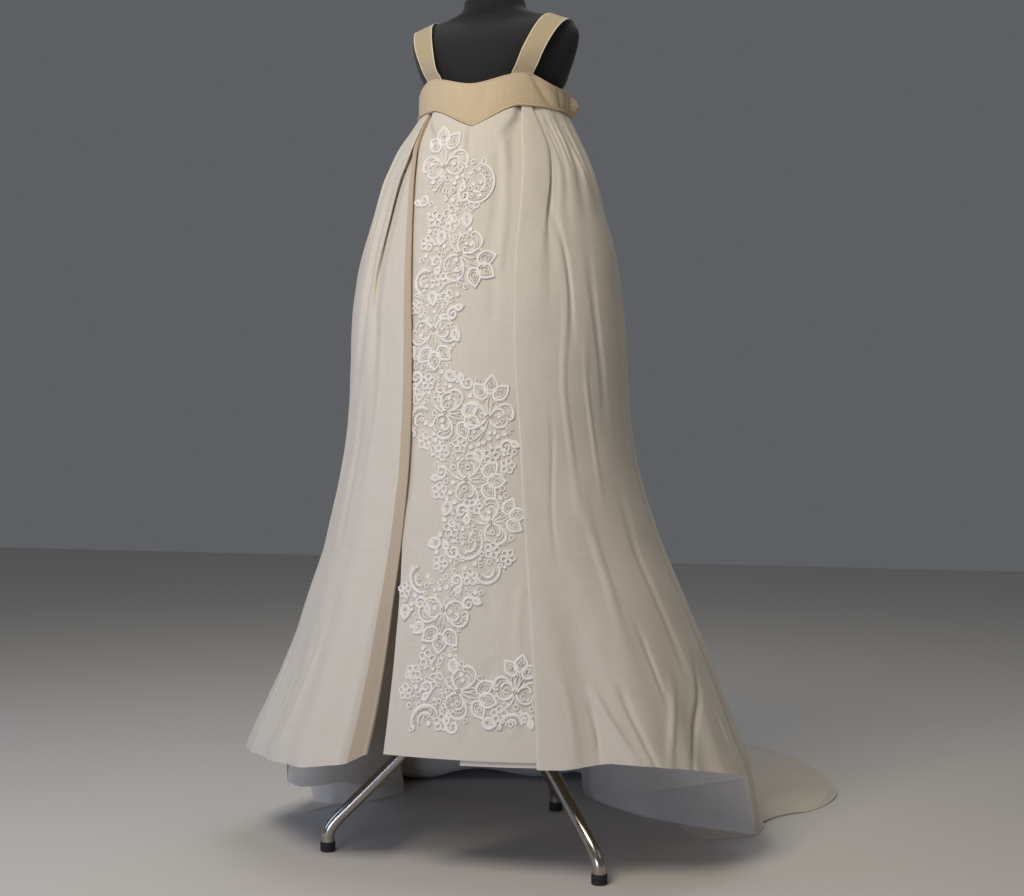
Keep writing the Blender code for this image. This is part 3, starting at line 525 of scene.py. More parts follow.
# Flutes. Columns: angle at the hem; half width; height of the swell; height at which it starts.
FLUTES = {
    "left": ((34.0, 9.0, 0.012, 0.70), (58.0, 12.0, -0.012, 0.62), (82.0, 12.0, 0.010, 0.55)),
    "right": ((36.0, 8.0, -0.012, 0.60), (50.0, 9.0, 0.013, 0.52), (71.0, 9.0, -0.013, 0.50)),
}
# The left-hand front edge is turned in as an open strip. Columns: height; how wide; how far it turns in.
STRIP = np.array([(0.0, 0.032, 0.0215), (0.17, 0.031, 0.0215), (0.28, 0.030, 0.0190), (0.45, 0.024, 0.0110),
                  (0.60, 0.020, 0.0055), (0.80, 0.015, 0.0030), (1.00, 0.010, 0.0015), (1.25, 0.004, 0.0)])
STRIP_WIDE, STRIP_DEEP = 1, 2
# Hems: the share of the way round the side (1 to 2 is the run under the train), and the height.
SIDE_HEM = {
    "left": np.array([(-1.0, 0.193), (0.0, 0.189), (0.04, 0.1755), (0.17, 0.1645), (0.42, 0.157),
                      (0.68, 0.155), (0.80, 0.150), (0.93, 0.146), (0.985, 0.128), (1.0, 0.056),
                      (1.12, 0.048), (1.5, 0.054), (2.0, HEM_SEAM)]),
    "right": np.array([(-1.0, 0.187), (0.05, 0.188), (0.11, 0.192), (0.17, 0.196), (0.29, 0.192),
                       (0.37, 0.186), (0.45, 0.180), (0.60, 0.168), (0.75, 0.156), (0.90, 0.140),
                       (1.0, 0.122), (1.45, 0.066), (2.0, HEM_SEAM)]),
}
# Columns of the line, stretch by stretch: underlay, its hairpin, return, front hairpin, side, and the
# run under the train.
FINE = {"left": (0, 0, 2, 11, 170, 26), "right": (10, 9, 2, 11, 170, 26)}


def fold_depths(name, z):
    """Depths of the front edge's return and of the underlay behind it."""
    share = way_down(z)
    returned = fold_gap(share)
    if name == "left":
        returned += 0.021 * float(smooth_step((share - 0.48) / 0.42))
    return returned, returned + 0.0066 + 0.0016 * share


def strip_at(z, column):
    return np.interp(z, STRIP[:, 0], STRIP[:, column])


def outer_fold_angle(z):
    top, low = OUTER_FOLD_ANGLE
    return top + (low - top) * float(at_height(z, ACROSS))


def travelled(top, low, z):
    """Where a fold is at a height, on its way from its place at the yoke to its place on the floor."""
    return top + (np.array(low) - top) * (float(at_height(z, ACROSS)), float(at_height(z, BACK_BY)))


def tucked_in(name, z):
    """The run under the train: its outer fold, its bend and its inner seam."""
    fold, share = FOLDS[name], way_down(z)
    outer = inside(outer_fold_angle(z), 0.0, oval_at(z))
    deep_in = inside(INNER_SEAM_ANGLE, 0.0, [size - INNER_SEAM_DEEP for size in YOKE_OVAL])
    inner = travelled(deep_in, fold["inner"], z)
    on_floor = inside(OUTER_FOLD_ANGLE[1], 0.0, FALL[0, SIDE:ACROSS])
    control = (outer + inner) / 2 + share * (np.array(fold["turn_in"]) - (on_floor + fold["inner"]) / 2)
    return outer, control, inner


def around_by(angle, oval):
    """Degrees round an oval for each metre along it."""
    a = np.radians(angle)
    return np.degrees(1 / np.hypot(oval[0] * np.cos(a), oval[1] * np.sin(a)))


def pleated(name, z, spread, edge_angle, oval):
    """Angles and depths of the side's columns. At a pleat they double back under its upper layer."""
    share, way, overlap, deep, fades, faded, edge = PLEATS[name]
    heights, angles = np.array(edge).T
    at = float(curve_through(z, heights, angles))
    angle = np.interp(spread, (0.0, share, 1.0), (edge_angle, at, outer_fold_angle(z)))
    pressed = float(smooth_step((z - faded) / (fades - faded)))
    lasting = float(smooth_step((z - faded + 0.12) / 0.22))
    if lasting == 0:
        return angle, np.zeros(len(spread))
    v = (spread - share) * (len(spread) - 1) / PLEAT_COLUMNS * way
    near = np.clip(v, -1.0, 1.0)
    room = np.ptp(angle[np.abs(v) <= 1.0]) / 2
    round_by = float(around_by(at, oval))
    swing = pressed * (overlap / 2 * round_by + room / 3) / 0.77
    below = np.maximum(0.0, (at - angle) * way) / round_by
    depth = deep * lasting * (1 - smooth_step(near + 0.5)) * (1 - smooth_step(below / 0.030))
    return angle - way * swing * np.sin(np.pi * near) * (1 - near ** 2), depth


def side_path(name, z):
    """The side panel's line at a height, seen from above."""
    under_n, turn_n, _, pin_n, side_n, tuck_n = FINE[name]
    oval, share = oval_at(z), way_down(z)
    returned, under = fold_depths(name, z)
    edge = float(at_height(z, LEFT_EDGE if name == "left" else RIGHT_EDGE)) + returned / 2
    edge_angle = math.degrees(math.asin(edge / oval[0]))
    round_by = float(around_by(edge_angle, oval))
    turned_in = 0.0
    if name == "right":
        turned = edge_angle + round_by * (0.018 + 0.014 * share)
        reach = UNDERLAY_REACH * share + (edge - 0.030) * (1 - share)
        start = math.degrees(math.asin(reach / oval[0]))
        path = [inside(np.linspace(start, turned, under_n), under, oval),
                hairpin(turned, under, returned, 1, oval, turn_n + 1)]
    else:
        turned, path = edge_angle + round_by * (0.008 + 0.030 * share), []
        turned_in = float(strip_at(z, STRIP_DEEP))
    path.append(inside(np.array((turned, edge_angle)), returned, oval))
    path.append(hairpin(edge_angle, returned, turned_in, -1, oval, pin_n + 1))
    spread = np.linspace(0.0, 1.0, side_n)
    angle, depth = pleated(name, z, spread, edge_angle, oval)
    if name == "left":
        t = (angle - edge_angle) / round_by / float(strip_at(z, STRIP_WIDE))
        depth = depth + turned_in * np.where(t < 0.94, 1 - t, np.clip(1.06 - t, 0, None) ** 2 / 0.24)
    for middle_at, half, deep, faded in VALLEYS[name]:
        depth = depth + deep * bump(spread - middle_at, half) * float(
            smooth_step((z - faded) / (VALLEYS_FULL - faded)) * smooth_step((YOKE_LOW + 0.004 - z) / 0.03))
    for middle_at, half, high, begins in FLUTES[name]:
        depth = depth - high * bump(angle - middle_at, half) * float(smooth_step((begins - z) / 0.5))
    path.append(inside(angle, depth, oval))
    outer, control, inner = tucked_in(name, z)
    path.append(bezier(outer, control, inner, np.linspace(0.0, 1.0, tuck_n + 1)[1:]))
    return np.concatenate(path)


print("the right panel's line has", len(side_path("right", 0.6)), "points")


# %% Grids of the side panels
SIDE_ROWS = 132
LEVELS = np.linspace(0.0, YOKE_LOW, 180)


def side_grid(name):
    """The side panel's points. Each column runs from the yoke down to the hem's height there."""
    table = np.array([side_path(name, z) for z in LEVELS])
    columns = table.shape[1]
    before, side_n, tuck_n = sum(FINE[name][:4]), *FINE[name][4:]
    place = np.concatenate([np.linspace(-1, 0, before, endpoint=False), np.linspace(0, 1, side_n),
                            np.linspace(1, 2, tuck_n + 1)[1:]])
    low = np.interp(place, *SIDE_HEM[name].T)
    grid = np.zeros((SIDE_ROWS, columns, 3))
    for j in range(columns):
        heights = np.linspace(YOKE_LOW - SEAM, low[j], SIDE_ROWS)
        for k in range(2):
            grid[:, j, k] = curve_through(heights, LEVELS, table[:, j, k])
        grid[:, j, 2] = heights
    return grid


# Creases. Columns: angle and height where it starts; angle and height where it ends; half width in mm;
# depth in mm, negative for a ridge.
CREASES = {
    "left": (
        (66, 1.235, 58, 1.02, 7, 3.2), (74, 1.23, 70, 1.08, 9, -2.4), (49, 1.17, 53, 0.80, 20, 6.0),
        (78, 1.05, 84, 0.78, 18, 3.0), (34, 0.98, 38, 0.60, 14, -2.0), (46, 0.80, 50, 0.50, 22, 3.2),
        (62, 0.78, 70, 0.50, 26, -3.0), (76, 0.60, 80, 0.30, 20, 3.4), (44, 0.42, 46, 0.19, 16, -2.6),
        (66, 0.36, 70, 0.18, 18, 3.0), (80, 0.235, 50, 0.225, 9, 2.6), (84, 0.255, 66, 0.250, 7, -1.8),
        (54, 0.34, 57, 0.17, 11, 2.4),
    ),
    "right": (
        (60, 1.245, 62, 1.15, 7, 2.2), (66, 1.24, 73, 1.13, 8, -1.8), (70, 1.245, 79, 1.12, 8, 2.0),
        (54, 1.22, 55, 1.16, 7, 2.0), (47, 1.17, 44, 1.06, 7, 3.0), (45, 1.09, 51, 0.86, 11, 3.0),
        (62, 1.02, 70, 0.72, 20, 2.4), (46, 0.98, 47, 0.56, 14, -1.8), (39, 0.74, 36, 0.50, 8, 1.8),
        (50, 0.62, 52, 0.36, 22, -2.6), (72, 0.60, 76, 0.30, 24, 3.2), (58, 0.86, 60, 0.60, 13, -1.8),
        (39, 0.31, 46, 0.19, 11, -6.5), (46, 0.31, 51, 0.175, 10, 6.5), (37, 0.29, 37, 0.19, 7, 4.5),
        (85, 0.33, 62, 0.160, 17, 7.5), (66, 0.31, 55, 0.175, 20, -4.5), (90, 0.25, 92, 0.155, 14, -5.0),
        (58, 0.40, 62, 0.28, 13, 3.0), (30, 0.34, 31, 0.19, 13, -2.0),
    ),
}


def along_stroke(z, z0, z1):
    """The share of the way down a stroke, and how far a point lies past its ends."""
    return np.clip((z0 - z) / (z0 - z1), 0.0, 1.0), np.maximum(np.maximum(z - z0, z1 - z), 0.0)


def crease(grid, name, first, last):
    """Presses this side's creases into the columns that show, straight in from the oval."""
    x, y, z = np.moveaxis(grid, -1, 0)
    wide = at_height(z, SIDE)
    deep = np.where(y < 0, at_height(z, FRONT), at_height(z, BACK))
    facing = unit(np.stack([x / wide ** 2, y / deep ** 2, np.zeros_like(z)], axis=-1))
    radius = np.linalg.norm(grid[..., :2], axis=2)
    angle = np.degrees(np.arctan2(x / wide, -y / deep))
    depth = np.zeros(grid.shape[:2])
    for a0, z0, a1, z1, half_mm, deep_mm in CREASES[name]:
        wander = 0.004 * np.sin(z * 23.0 + a0)
        down, beyond = along_stroke(z, z0, z1)
        off = np.radians(angle - (a0 + (a1 - a0) * down)) * radius + wander
        taper = np.sin(np.pi * np.clip(down, 0.04, 0.96)) ** 0.6
        depth += deep_mm / 1000 * bump(np.hypot(off, beyond), half_mm / 1000 * (1.3 - 0.6 * taper)) * taper
    depth -= 0.0020 * soft_noise(grid, 0.11, 3.0) + 0.0009 * soft_noise(grid, 0.045, 9.0)
    shown = np.zeros(grid.shape[1])
    shown[first:last] = 1.0
    shown = np.convolve(shown, np.ones(9) / 9, mode="same")
    return grid - facing * (depth * shown * below_seam(z))[..., None]


# The left panel's turned-in strip is marked for the silk's painted shade: how far inside the strip's edge a
# point lies.
NOT_TURNED_IN, STRIP_DRAWN = 0.02, 0.97
for name, fold in FOLDS.items():
    grid = side_grid(name)
    first = sum(FINE[name][:4]) + 6
    grid = crease(grid, name, first, first + FINE[name][4] - 10)
    panel = shell(f"side_panel_{name}", grid, ivory_silk, mirror=fold["sign"])
    if name == "left":
        run = np.linalg.norm(np.diff(grid[:, first - 6:], axis=1), axis=2).cumsum(axis=1)
        inward = np.full(grid.shape[:2], NOT_TURNED_IN)
        inward[:, first - 5:] = strip_at(grid[:, [first], 2], STRIP_WIDE) * STRIP_DRAWN - run
        panel.data.attributes.new("turned_in", "FLOAT", "POINT").data.foreach_set(
            "value", np.tile(inward.ravel(), 2))
    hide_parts(f"skirt_{name}")
    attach(panel, "root")

# %% [markdown]
# ## Train panels
# Each back panel starts at the side panel's inner seam, comes out under it to a folded corner, and
# then runs round the back in gathers that reach the floor and spread there. The hanging part is again one
# line for each height. The floor part is a second set of rows between where the cloth lands and the
# train's edge, with each gather running out as a low soft ridge.

# %% Outlines of the train
TRAIN_EDGE = np.array([(0.421, 0.206), (0.423, 0.252), (0.419, 0.302), (0.436, 0.352), (0.494, 0.425),
                       (0.526, 0.560), (0.512, 0.660), (0.475, 0.750), (0.432, 0.855), (0.352, 0.965),
                       (0.245, 1.058), (0.125, 1.105), (0.0, 1.120)])
TRAIN_FALL = np.array([(0.414, 0.213), (0.415, 0.252), (0.404, 0.300), (0.380, 0.350), (0.345, 0.395),
                       (0.300, 0.430), (0.250, 0.455), (0.195, 0.475), (0.140, 0.488), (0.085, 0.496),
                       (0.040, 0.500), (0.0, 0.500)])
BACK_GATHERS, BACK_GATHER_DEEP = 3, 0.013
INNER_COLUMNS, CORNER_COLUMNS, BACK_COLUMNS = 26, 10, 120
BEFORE_BACK = INNER_COLUMNS + CORNER_COLUMNS
ROUND_BACK = np.linspace(0.0, 1.0, BACK_COLUMNS)
HANGING_ROWS, FLOOR_ROWS = 120, 46
CORNER_TUCK, CORNER_TURN, LAST_ANGLE = 0.010, 120.0, 176.0


def spaced_along(points, count):
    """Places spread evenly along the smooth curve through an outline's points."""
    along = np.concatenate([[0], np.cumsum(np.linalg.norm(np.diff(points, axis=0), axis=1))])
    fine = np.linspace(0, along[-1], 400)
    line = np.stack([curve_through(fine, along, points[:, k]) for k in range(2)], axis=1)
    run = np.concatenate([[0], np.cumsum(np.linalg.norm(np.diff(line, axis=0), axis=1))])
    at = np.linspace(0, run[-1], count)
    return np.stack([np.interp(at, run, line[:, k]) for k in range(2)], axis=1)


def gathers(t):
    """The wave of the back's gathers, at a share of the way round."""
    return np.cos(2 * math.pi * BACK_GATHERS * t + 0.5 * np.sin(5.0 * t))


def tucked_out(name, z):
    """The run of the train panel from the inner seam out to its folded corner."""
    fold, share = FOLDS[name], way_down(z)
    outer, bend, inner = tucked_in(name, z)
    heading = unit(inner - bend)
    start = inner + SEAM * 1.5 * np.array((heading[1], -heading[0]))
    on_floor = inside(OUTER_FOLD_ANGLE[1], 0.0, FALL[0, SIDE:ACROSS])
    corner = outer + (np.array(fold["corner"]) - on_floor) * share ** 3 + (0.001 * (1 - share), 0.0045)
    inwards = unit(bend - outer)
    corner = corner + inwards * CORNER_TUCK * (1 - share ** 4)
    control = (start + corner) / 2 + share * (
        np.array(fold["turn_out"]) - (np.array(fold["inner"]) + fold["corner"]) / 2)
    return start, control, corner


def train_line(name, z, fall):
    """The train panel's line at a height: the run out, the rounded corner and the gathered back."""
    fold, share = FOLDS[name], way_down(z)
    start, bend, corner = tucked_out(name, z)
    line = bezier(start, bend, corner, np.arange(INNER_COLUMNS) / INNER_COLUMNS)
    heading = unit(corner - line[-1])
    across = np.array((-heading[1], heading[0]))
    radius = 0.0022 + 0.006 * share
    begin = math.atan2(-across[1], -across[0])
    sweep = begin + math.radians(CORNER_TURN) * np.arange(CORNER_COLUMNS + 1) / CORNER_COLUMNS
    rounded = corner + across * radius + radius * np.stack([np.cos(sweep), np.sin(sweep)], axis=1)
    t = ROUND_BACK
    top = inside(OUTER_FOLD_ANGLE[0] + 4.0 + (LAST_ANGLE - OUTER_FOLD_ANGLE[0]) * t, 0.0, YOKE_OVAL)
    low = fall + (np.array(fold["corner"]) - fall[0]) * np.maximum(0.0, 1 - 4 * t)[:, None]
    place = travelled(top, low, z)
    place = place + (rounded[-1] - place[0]) * (1 - smooth_step(t * 3.2))[:, None]
    gather = BACK_GATHER_DEEP * gathers(t) * float(smooth_step(share * 5)) * (1 - 0.65 * share)
    gather = gather * smooth_step(4 * t)
    place = place * (1 + gather / np.linalg.norm(place, axis=1))[:, None]
    return np.concatenate([line, rounded[:CORNER_COLUMNS], place])


print("the train reaches", TRAIN_EDGE[-1, 1], "m behind the column")


# %% Grids of the train panels
RIDGE_HIGH = 0.020
# How far the cloth spreads from where it lands: the run out from the inner seam, by the share of the way
# along it, and the corner.
INNER_LIP = (0.0, 0.66, 0.74, 1.0), (0.0, 0.0, 0.080, 0.008)
LEAST_LIP, CORNER_LIP = 0.007, 0.004


def floor_edge(last, edge):
    """Where each column of the train ends on the floor."""
    share = np.arange(INNER_COLUMNS) / INNER_COLUMNS
    wide = LEAST_LIP + np.interp(share, *INNER_LIP)
    lip = [last[:INNER_COLUMNS, :2] + np.stack([0.25 * wide, -wide], axis=1)]
    turned = np.radians(-75.0 + 60.0 * np.arange(CORNER_COLUMNS) / CORNER_COLUMNS)
    away = np.stack([np.cos(turned), np.sin(turned)], axis=1)
    lip.append(last[INNER_COLUMNS:BEFORE_BACK, :2] + CORNER_LIP * away)
    first = last[BEFORE_BACK, :2] + (0.004, 0.003)
    lip.append(edge + (first - edge[0]) * np.maximum(0.0, 1 - 5.3 * ROUND_BACK)[:, None])
    return np.concatenate(lip)


def train_grid(name):
    """The hanging rows of a train panel, then its rows on the floor."""
    fall, edge = spaced_along(TRAIN_FALL, BACK_COLUMNS), spaced_along(TRAIN_EDGE, BACK_COLUMNS)
    heights = np.linspace(YOKE_LOW - SEAM, HEM_SEAM, HANGING_ROWS)
    hanging = np.array([[(*p, z) for p in train_line(name, z, fall)] for z in heights])
    last = hanging[-1]
    lip = floor_edge(last, edge)
    t = np.concatenate([np.zeros(BEFORE_BACK), ROUND_BACK])
    on_floor = np.zeros((FLOOR_ROWS, len(t), 3))
    for i in range(FLOOR_ROWS):
        out = (i + 1) / FLOOR_ROWS
        on_floor[i, :, :2] = last[:, :2] + (lip - last[:, :2]) * out
        ridge = (0.5 + 0.5 * gathers(t)) * smooth_step(6 * t) * (1 - 0.72 * out) * smooth_step(out / 0.05)
        on_floor[i, :, 2] = CLOTH + RIDGE_HIGH * ridge * smooth_step((1.0 - out) / 0.10)
    return np.concatenate([hanging, on_floor])


def soften_landing(grid, passes=26, reach=9):
    """Rounds the bend where hanging cloth meets the floor."""
    a, b = HANGING_ROWS - reach, HANGING_ROWS + reach
    for _ in range(passes):
        grid[a:b] = 0.5 * grid[a:b] + 0.25 * (grid[a - 1:b - 1] + grid[a + 1:b + 1])
    grid[..., 2] = np.maximum(grid[..., 2], CLOTH)
    return grid


for name, fold in FOLDS.items():
    grid = soften_landing(train_grid(name))
    wave = 0.0022 * soft_noise(grid, 0.10, 21.0) + 0.0009 * soft_noise(grid, 0.04, 5.0)
    open_part = np.concatenate([np.zeros(BEFORE_BACK), smooth_step(ROUND_BACK * 8)])
    wave = wave * open_part * below_seam(grid[..., 2])
    grid = grid + normals_of(grid) * wave[..., None]
    grid[HANGING_ROWS:, :, 2] = np.maximum(grid[HANGING_ROWS:, :, 2], CLOTH)
    grid[:, -1, 0] = SEAM / 2
    inner = grid - normals_of(grid) * CLOTH
    inner[0, :, 2] = grid[0, :, 2]
    inner[:, -1, 0] = SEAM / 2
    inner[..., 2] = np.clip(inner[..., 2], 0.0, None)
    panel = shell(f"train_panel_{name}", grid, ivory_silk, inner=inner, mirror=fold["sign"])
    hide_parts(f"train_{name}")
    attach(panel, "root")

# %% [markdown]
# ## Front panel
# The front is one long straight panel whose side edges lie behind the side panels. It hangs nearly
# flat, a little set back, and comes forward to the yoke at its top. Its place is a function of how far
# across and how high a point is, because the lace is laid on the same function later.

# %% Front panel
PANEL_LEFT = np.array([(HEM_FRONT_PANEL, 0.104), (0.47, 0.0895), (0.62, 0.0905), (0.95, 0.097),
                       (YOKE_LOW, 0.1035)])
PANEL_ROWS, PANEL_COLUMNS = 210, 64
# Soft strokes on the panel. Columns: across and height where it starts; the same where it ends; half
# width in mm; depth in mm, negative for a ridge.
PANEL_CREASES = (
    (0.001, 1.214, 0.004, 1.168, 6, 2.6), (-0.006, 1.205, -0.004, 1.160, 5, -1.2),
    (0.066, 1.19, 0.070, 0.98, 12, -1.8), (0.052, 1.16, 0.056, 0.90, 14, 1.5),
    (0.040, 0.60, 0.075, 0.42, 16, 1.2), (-0.060, 0.52, -0.030, 0.36, 18, -1.4),
    (0.080, 0.34, 0.030, 0.22, 15, 1.3), (-0.070, 0.30, -0.020, 0.205, 14, -1.2),
    (0.120, 0.46, 0.118, 0.24, 12, -1.6), (-0.085, 0.80, -0.080, 0.60, 10, 1.4),
)


def yoke_low(x):
    """Height of the yoke's lower edge in front, which comes to a point at the centre."""
    t = np.clip(1.0 - np.abs(x) / YOKE_POINT_HALF, 0.0, 1.0)
    return YOKE_LOW - YOKE_POINT * (0.62 * t + 0.38 * smooth_step(t))


def panel_edges(z):
    """How far across the front panel's left and right edges lie."""
    left = np.interp(z, PANEL_LEFT[:, 0], PANEL_LEFT[:, 1])
    return -left, at_height(z, RIGHT_EDGE) + 0.013 + 0.004 * (YOKE_LOW - z)


def on_panel(x, z):
    """The panel's points for places across it and up it."""
    left, right = panel_edges(z)
    share = way_down(z)
    at_top = smooth_step((z - 1.195) / 0.045)
    near_edge = smooth_step((np.abs((x - left) / (right - left) - 0.5) - 0.22 - 0.15 * at_top)
                            / (0.16 - 0.10 * at_top))
    below = smooth_step((1.235 - z) / 0.12)
    setback = 0.0002 + (fold_gap(share) + 0.0032) * np.maximum(near_edge, below)
    for x0, z0, x1, z1, half_mm, deep_mm in PANEL_CREASES:
        down, beyond = along_stroke(z, z0, z1)
        off = x - (x0 + (x1 - x0) * down) - 0.003 * np.sin(z * 31.0 + x0 * 90.0)
        setback = setback + deep_mm / 1000 * bump(np.hypot(off, beyond), half_mm / 1000)
    oval = oval_at(z)
    place = inside(np.degrees(np.arcsin(np.clip(x / oval[0], -1, 1))), setback, oval)
    return np.concatenate([place, np.asarray(z, float)[..., None]], axis=-1)


def panel_facing(x, z):
    """The direction that the panel faces, from the points beside a place."""
    step = 0.0008
    return unit(np.cross(on_panel(x + step, z) - on_panel(x - step, z),
                         on_panel(x, z + step) - on_panel(x, z - step)))


down, across = np.meshgrid(np.linspace(0, 1, PANEL_ROWS), np.linspace(0, 1, PANEL_COLUMNS),
                           indexing="ij")
left, right = panel_edges(YOKE_LOW - (YOKE_LOW - HEM_FRONT_PANEL) * down)
top = yoke_low(left + (right - left) * across) - ROOM
high = top - (top - HEM_FRONT_PANEL) * down
left, right = panel_edges(high)
grid = on_panel(left + (right - left) * across, high)
uneven = 0.0008 * soft_noise(grid, 0.06, 2.0) * smooth_step((1.2 - high) / 0.05)
grid = grid + normals_of(grid) * uneven[..., None]
front = shell("lace_front_silk", grid, ivory_silk)
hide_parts("front_panel")
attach(front, "root")

# %% [markdown]
# ## Yoke
# The yoke is a shaped band of two layers of silk, closed at one side. Its top edge dips between the
# straps, and its lower edge comes to a point. It is worked out as the solids are, with more points and
# a few soft dents. The back's closing end bulges out beside the front's end in a short crumpled tongue.

# %% Yoke
YOKE_ROWS = 22
# The closing tongue, in degrees past the seam and in height.
TONGUE_PAST_SEAM, TONGUE_HALF, TONGUE_AT, TONGUE_HALF_HIGH = 6.5, 8.0, 1.268, 0.013
# Dents. Columns: angle at the top and at the bottom; half width in degrees; depth in mm.
YOKE_DENTS = ((45.0, 66.0, 7.0, 4.2), (57.0, 76.0, 6.0, -2.0), (72.0, 77.0, 5.0, 2.2),
              (-82.0, -80.0, 5.0, 2.0), (-30.0, -34.0, 8.0, 1.2), (12.0, 2.0, 9.0, 1.0),
              (-62.0, -70.0, 8.0, 1.8), (86.0, 84.0, 4.0, 1.6), (150.0, 158.0, 8.0, 1.5),
              (205.0, 198.0, 9.0, 1.5))


def yoke_edges(angle):
    """Heights of the yoke's top and lower edge at angles round from the centre front."""
    x = np.abs(YOKE_ACROSS * np.sin(np.radians(angle)))
    rise = YOKE_TOP_STRAP - YOKE_TOP_SIDE
    beyond = (x - YOKE_STRAP_AT) / (YOKE_ACROSS - YOKE_STRAP_AT)
    front_top = np.where(x < YOKE_STRAP_AT, smooth_step(x / YOKE_STRAP_AT), 1 - smooth_step(beyond))
    back_top = 0.3 * bump((180 - np.abs(angle)) - 40, 26)
    in_front = np.abs(angle) <= 90
    return (YOKE_TOP_SIDE + rise * np.where(in_front, front_top, back_top),
            np.where(in_front, yoke_low(x), YOKE_LOW))


def yoke_band(name, first, last, columns, tongue):
    """A closed band of the yoke's two layers, from one angle round to another."""
    turns = np.linspace(first, last, columns)
    angle = np.where(turns <= 180, turns, turns - 360)
    top, low = yoke_edges(angle)
    down = np.linspace(0.0, 1.0, YOKE_ROWS)[:, None]
    z = top + (low - top) * down
    out = tongue(turns, z)
    for a0, a1, half, deep_mm in YOKE_DENTS:
        out = out - deep_mm / 1000 * bump(turns - (a0 + (a1 - a0) * down), half) * np.sin(
            np.pi * np.clip(down * 0.86 + 0.07, 0, 1))
    place = inside(angle, 0.0, YOKE_OVAL)
    facing = inside(angle, -1.0, YOKE_OVAL) - place
    puff = 0.0007 * np.sin(np.pi * down)
    outer = np.concatenate([place + facing * (out + puff)[..., None], z[..., None]], axis=2)
    inner = np.concatenate([place + facing * (out - BAND)[..., None], z[..., None]], axis=2)
    return shell(name, outer, yoke_silk, inner=inner)


def no_tongue(turns, z):
    return np.zeros_like(z)


def closing_tongue(turns, z):
    """The closing end bulges out beside the front's end, most at its middle height, and is crumpled."""
    bulge = bump(turns - YOKE_SIDE_SEAM - TONGUE_PAST_SEAM, TONGUE_HALF)
    middle = np.exp(-((z - TONGUE_AT) / TONGUE_HALF_HIGH) ** 2)
    crumple = 0.0014 * np.sin(z * 620.0 + turns * 0.8) + 0.0008 * np.sin(z * 1500.0 - turns * 0.5)
    return bulge * (0.004 + 0.012 * middle + crumple)


seam_gap = math.degrees(SEAM / YOKE_DEEP)
for name, node, first, last, columns, tongue, cut in (
        ("yoke_front_band", "yoke_front", -YOKE_SIDE_SEAM, YOKE_SIDE_SEAM, 200, no_tongue, (0.42, 0.088)),
        ("yoke_back_band", "yoke_back", YOKE_SIDE_SEAM + seam_gap, 360 - YOKE_SIDE_SEAM - seam_gap, 150,
         closing_tongue, (0.37, 0.055))):
    band = yoke_band(name, first, last, columns, tongue)
    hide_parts(node)
    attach(band, "root")

# %% [markdown]
# ## Cords along seams
# Piping is a bias strip folded round a cord and sewn into the seam, so it is a thin roll that follows
# the yoke's lower edge. A Geometry Nodes tree makes it: mesh edges become a curve, and a small circle is
# drawn along it. The same tree rolls the yoke's top edge.


# %% Roll along a line
def new_tree(name, inputs, output):
    """A Geometry Nodes tree with named inputs, and their sockets inside it."""
    tree = bpy.data.node_groups.new(name, "GeometryNodeTree")
    for key, kind in inputs.items():
        tree.interface.new_socket(key, in_out="INPUT", socket_type="NodeSocket" + kind)
    tree.interface.new_socket(output, in_out="OUTPUT", socket_type="NodeSocketGeometry")
    return tree, add(tree, "NodeGroupInput").outputs


def end_tree(tree, shape, finish):
    """Makes the instances real, sets the finish and links the output."""
    real = add(tree, "GeometryNodeRealizeInstances", {0: shape})
    dressed = add(tree, "GeometryNodeSetMaterial", {"Geometry": real.outputs[0], "Material": finish})
    add(tree, "NodeGroupOutput", {0: dressed.outputs[0]})
    return tree


def roll_tree():
    """Mesh edges to a roll of a given radius."""
    tree, given = new_tree("roll_along_line", {"Line": "Geometry", "Radius": "Float", "Sides": "Int",
                                               "Finish": "Material"}, "Roll")
    line = add(tree, "GeometryNodeMeshToCurve", {0: given["Line"]}).outputs[0]
    ring = add(tree, "GeometryNodeCurvePrimitiveCircle",
               {"Resolution": given["Sides"], "Radius": given["Radius"]}, mode="RADIUS").outputs["Curve"]
    rolled = add(tree, "GeometryNodeCurveToMesh", {"Curve": line, "Profile Curve": ring, "Fill Caps": True})
    return end_tree(tree, rolled.outputs[0], given["Finish"])


def grown(name, source, tree, inputs):
    """Runs a Geometry Nodes tree on a source object and keeps the result as a plain mesh."""
    bpy.context.collection.objects.link(source)
    modifier = source.modifiers.new("grow", "NODES")
    modifier.node_group = tree
    for item in tree.interface.items_tree:
        if item.item_type == "SOCKET" and item.in_out == "INPUT" and item.name in inputs:
            modifier[item.identifier] = inputs[item.name]
    bpy.context.view_layer.update()
    ready = source.evaluated_get(bpy.context.evaluated_depsgraph_get())
    mesh = bpy.data.meshes.new_from_object(ready)
    mesh.name = name
    bpy.data.objects.remove(source)
    mesh.shade_smooth()
    print(f"{name}: {len(mesh.polygons)} faces")
    return linked(name, mesh)


def source_of(name, points, edges=()):
    """A source object for a tree to work on: points, and edges between them."""
    mesh = bpy.data.meshes.new(name)
    mesh.from_pydata((np.asarray(points) + AXIS).tolist(), edges, [])
    return bpy.data.objects.new(name, mesh)


def line_source(name, line):
    return source_of(name, line, [(k, k + 1) for k in range(len(line) - 1)])


roll = roll_tree()
print("tree:", roll.name, "with", len(roll.nodes), "nodes")

# %% Piping and rolled edge
PIPING_R, EDGE_ROLL_R = 0.0015, 0.0014
PIPING_END, EDGE_ROLL_END = 95.0, 96.5


def round_yoke(end, count, edge, out, up):
    """Points that follow the yoke's top (edge 0) or lower (edge 1) edge, as far round to each side."""
    angle = np.linspace(-end, end, count)
    place = inside(angle, -out, YOKE_OVAL)
    return np.column_stack([place, yoke_edges(angle)[edge] + up])


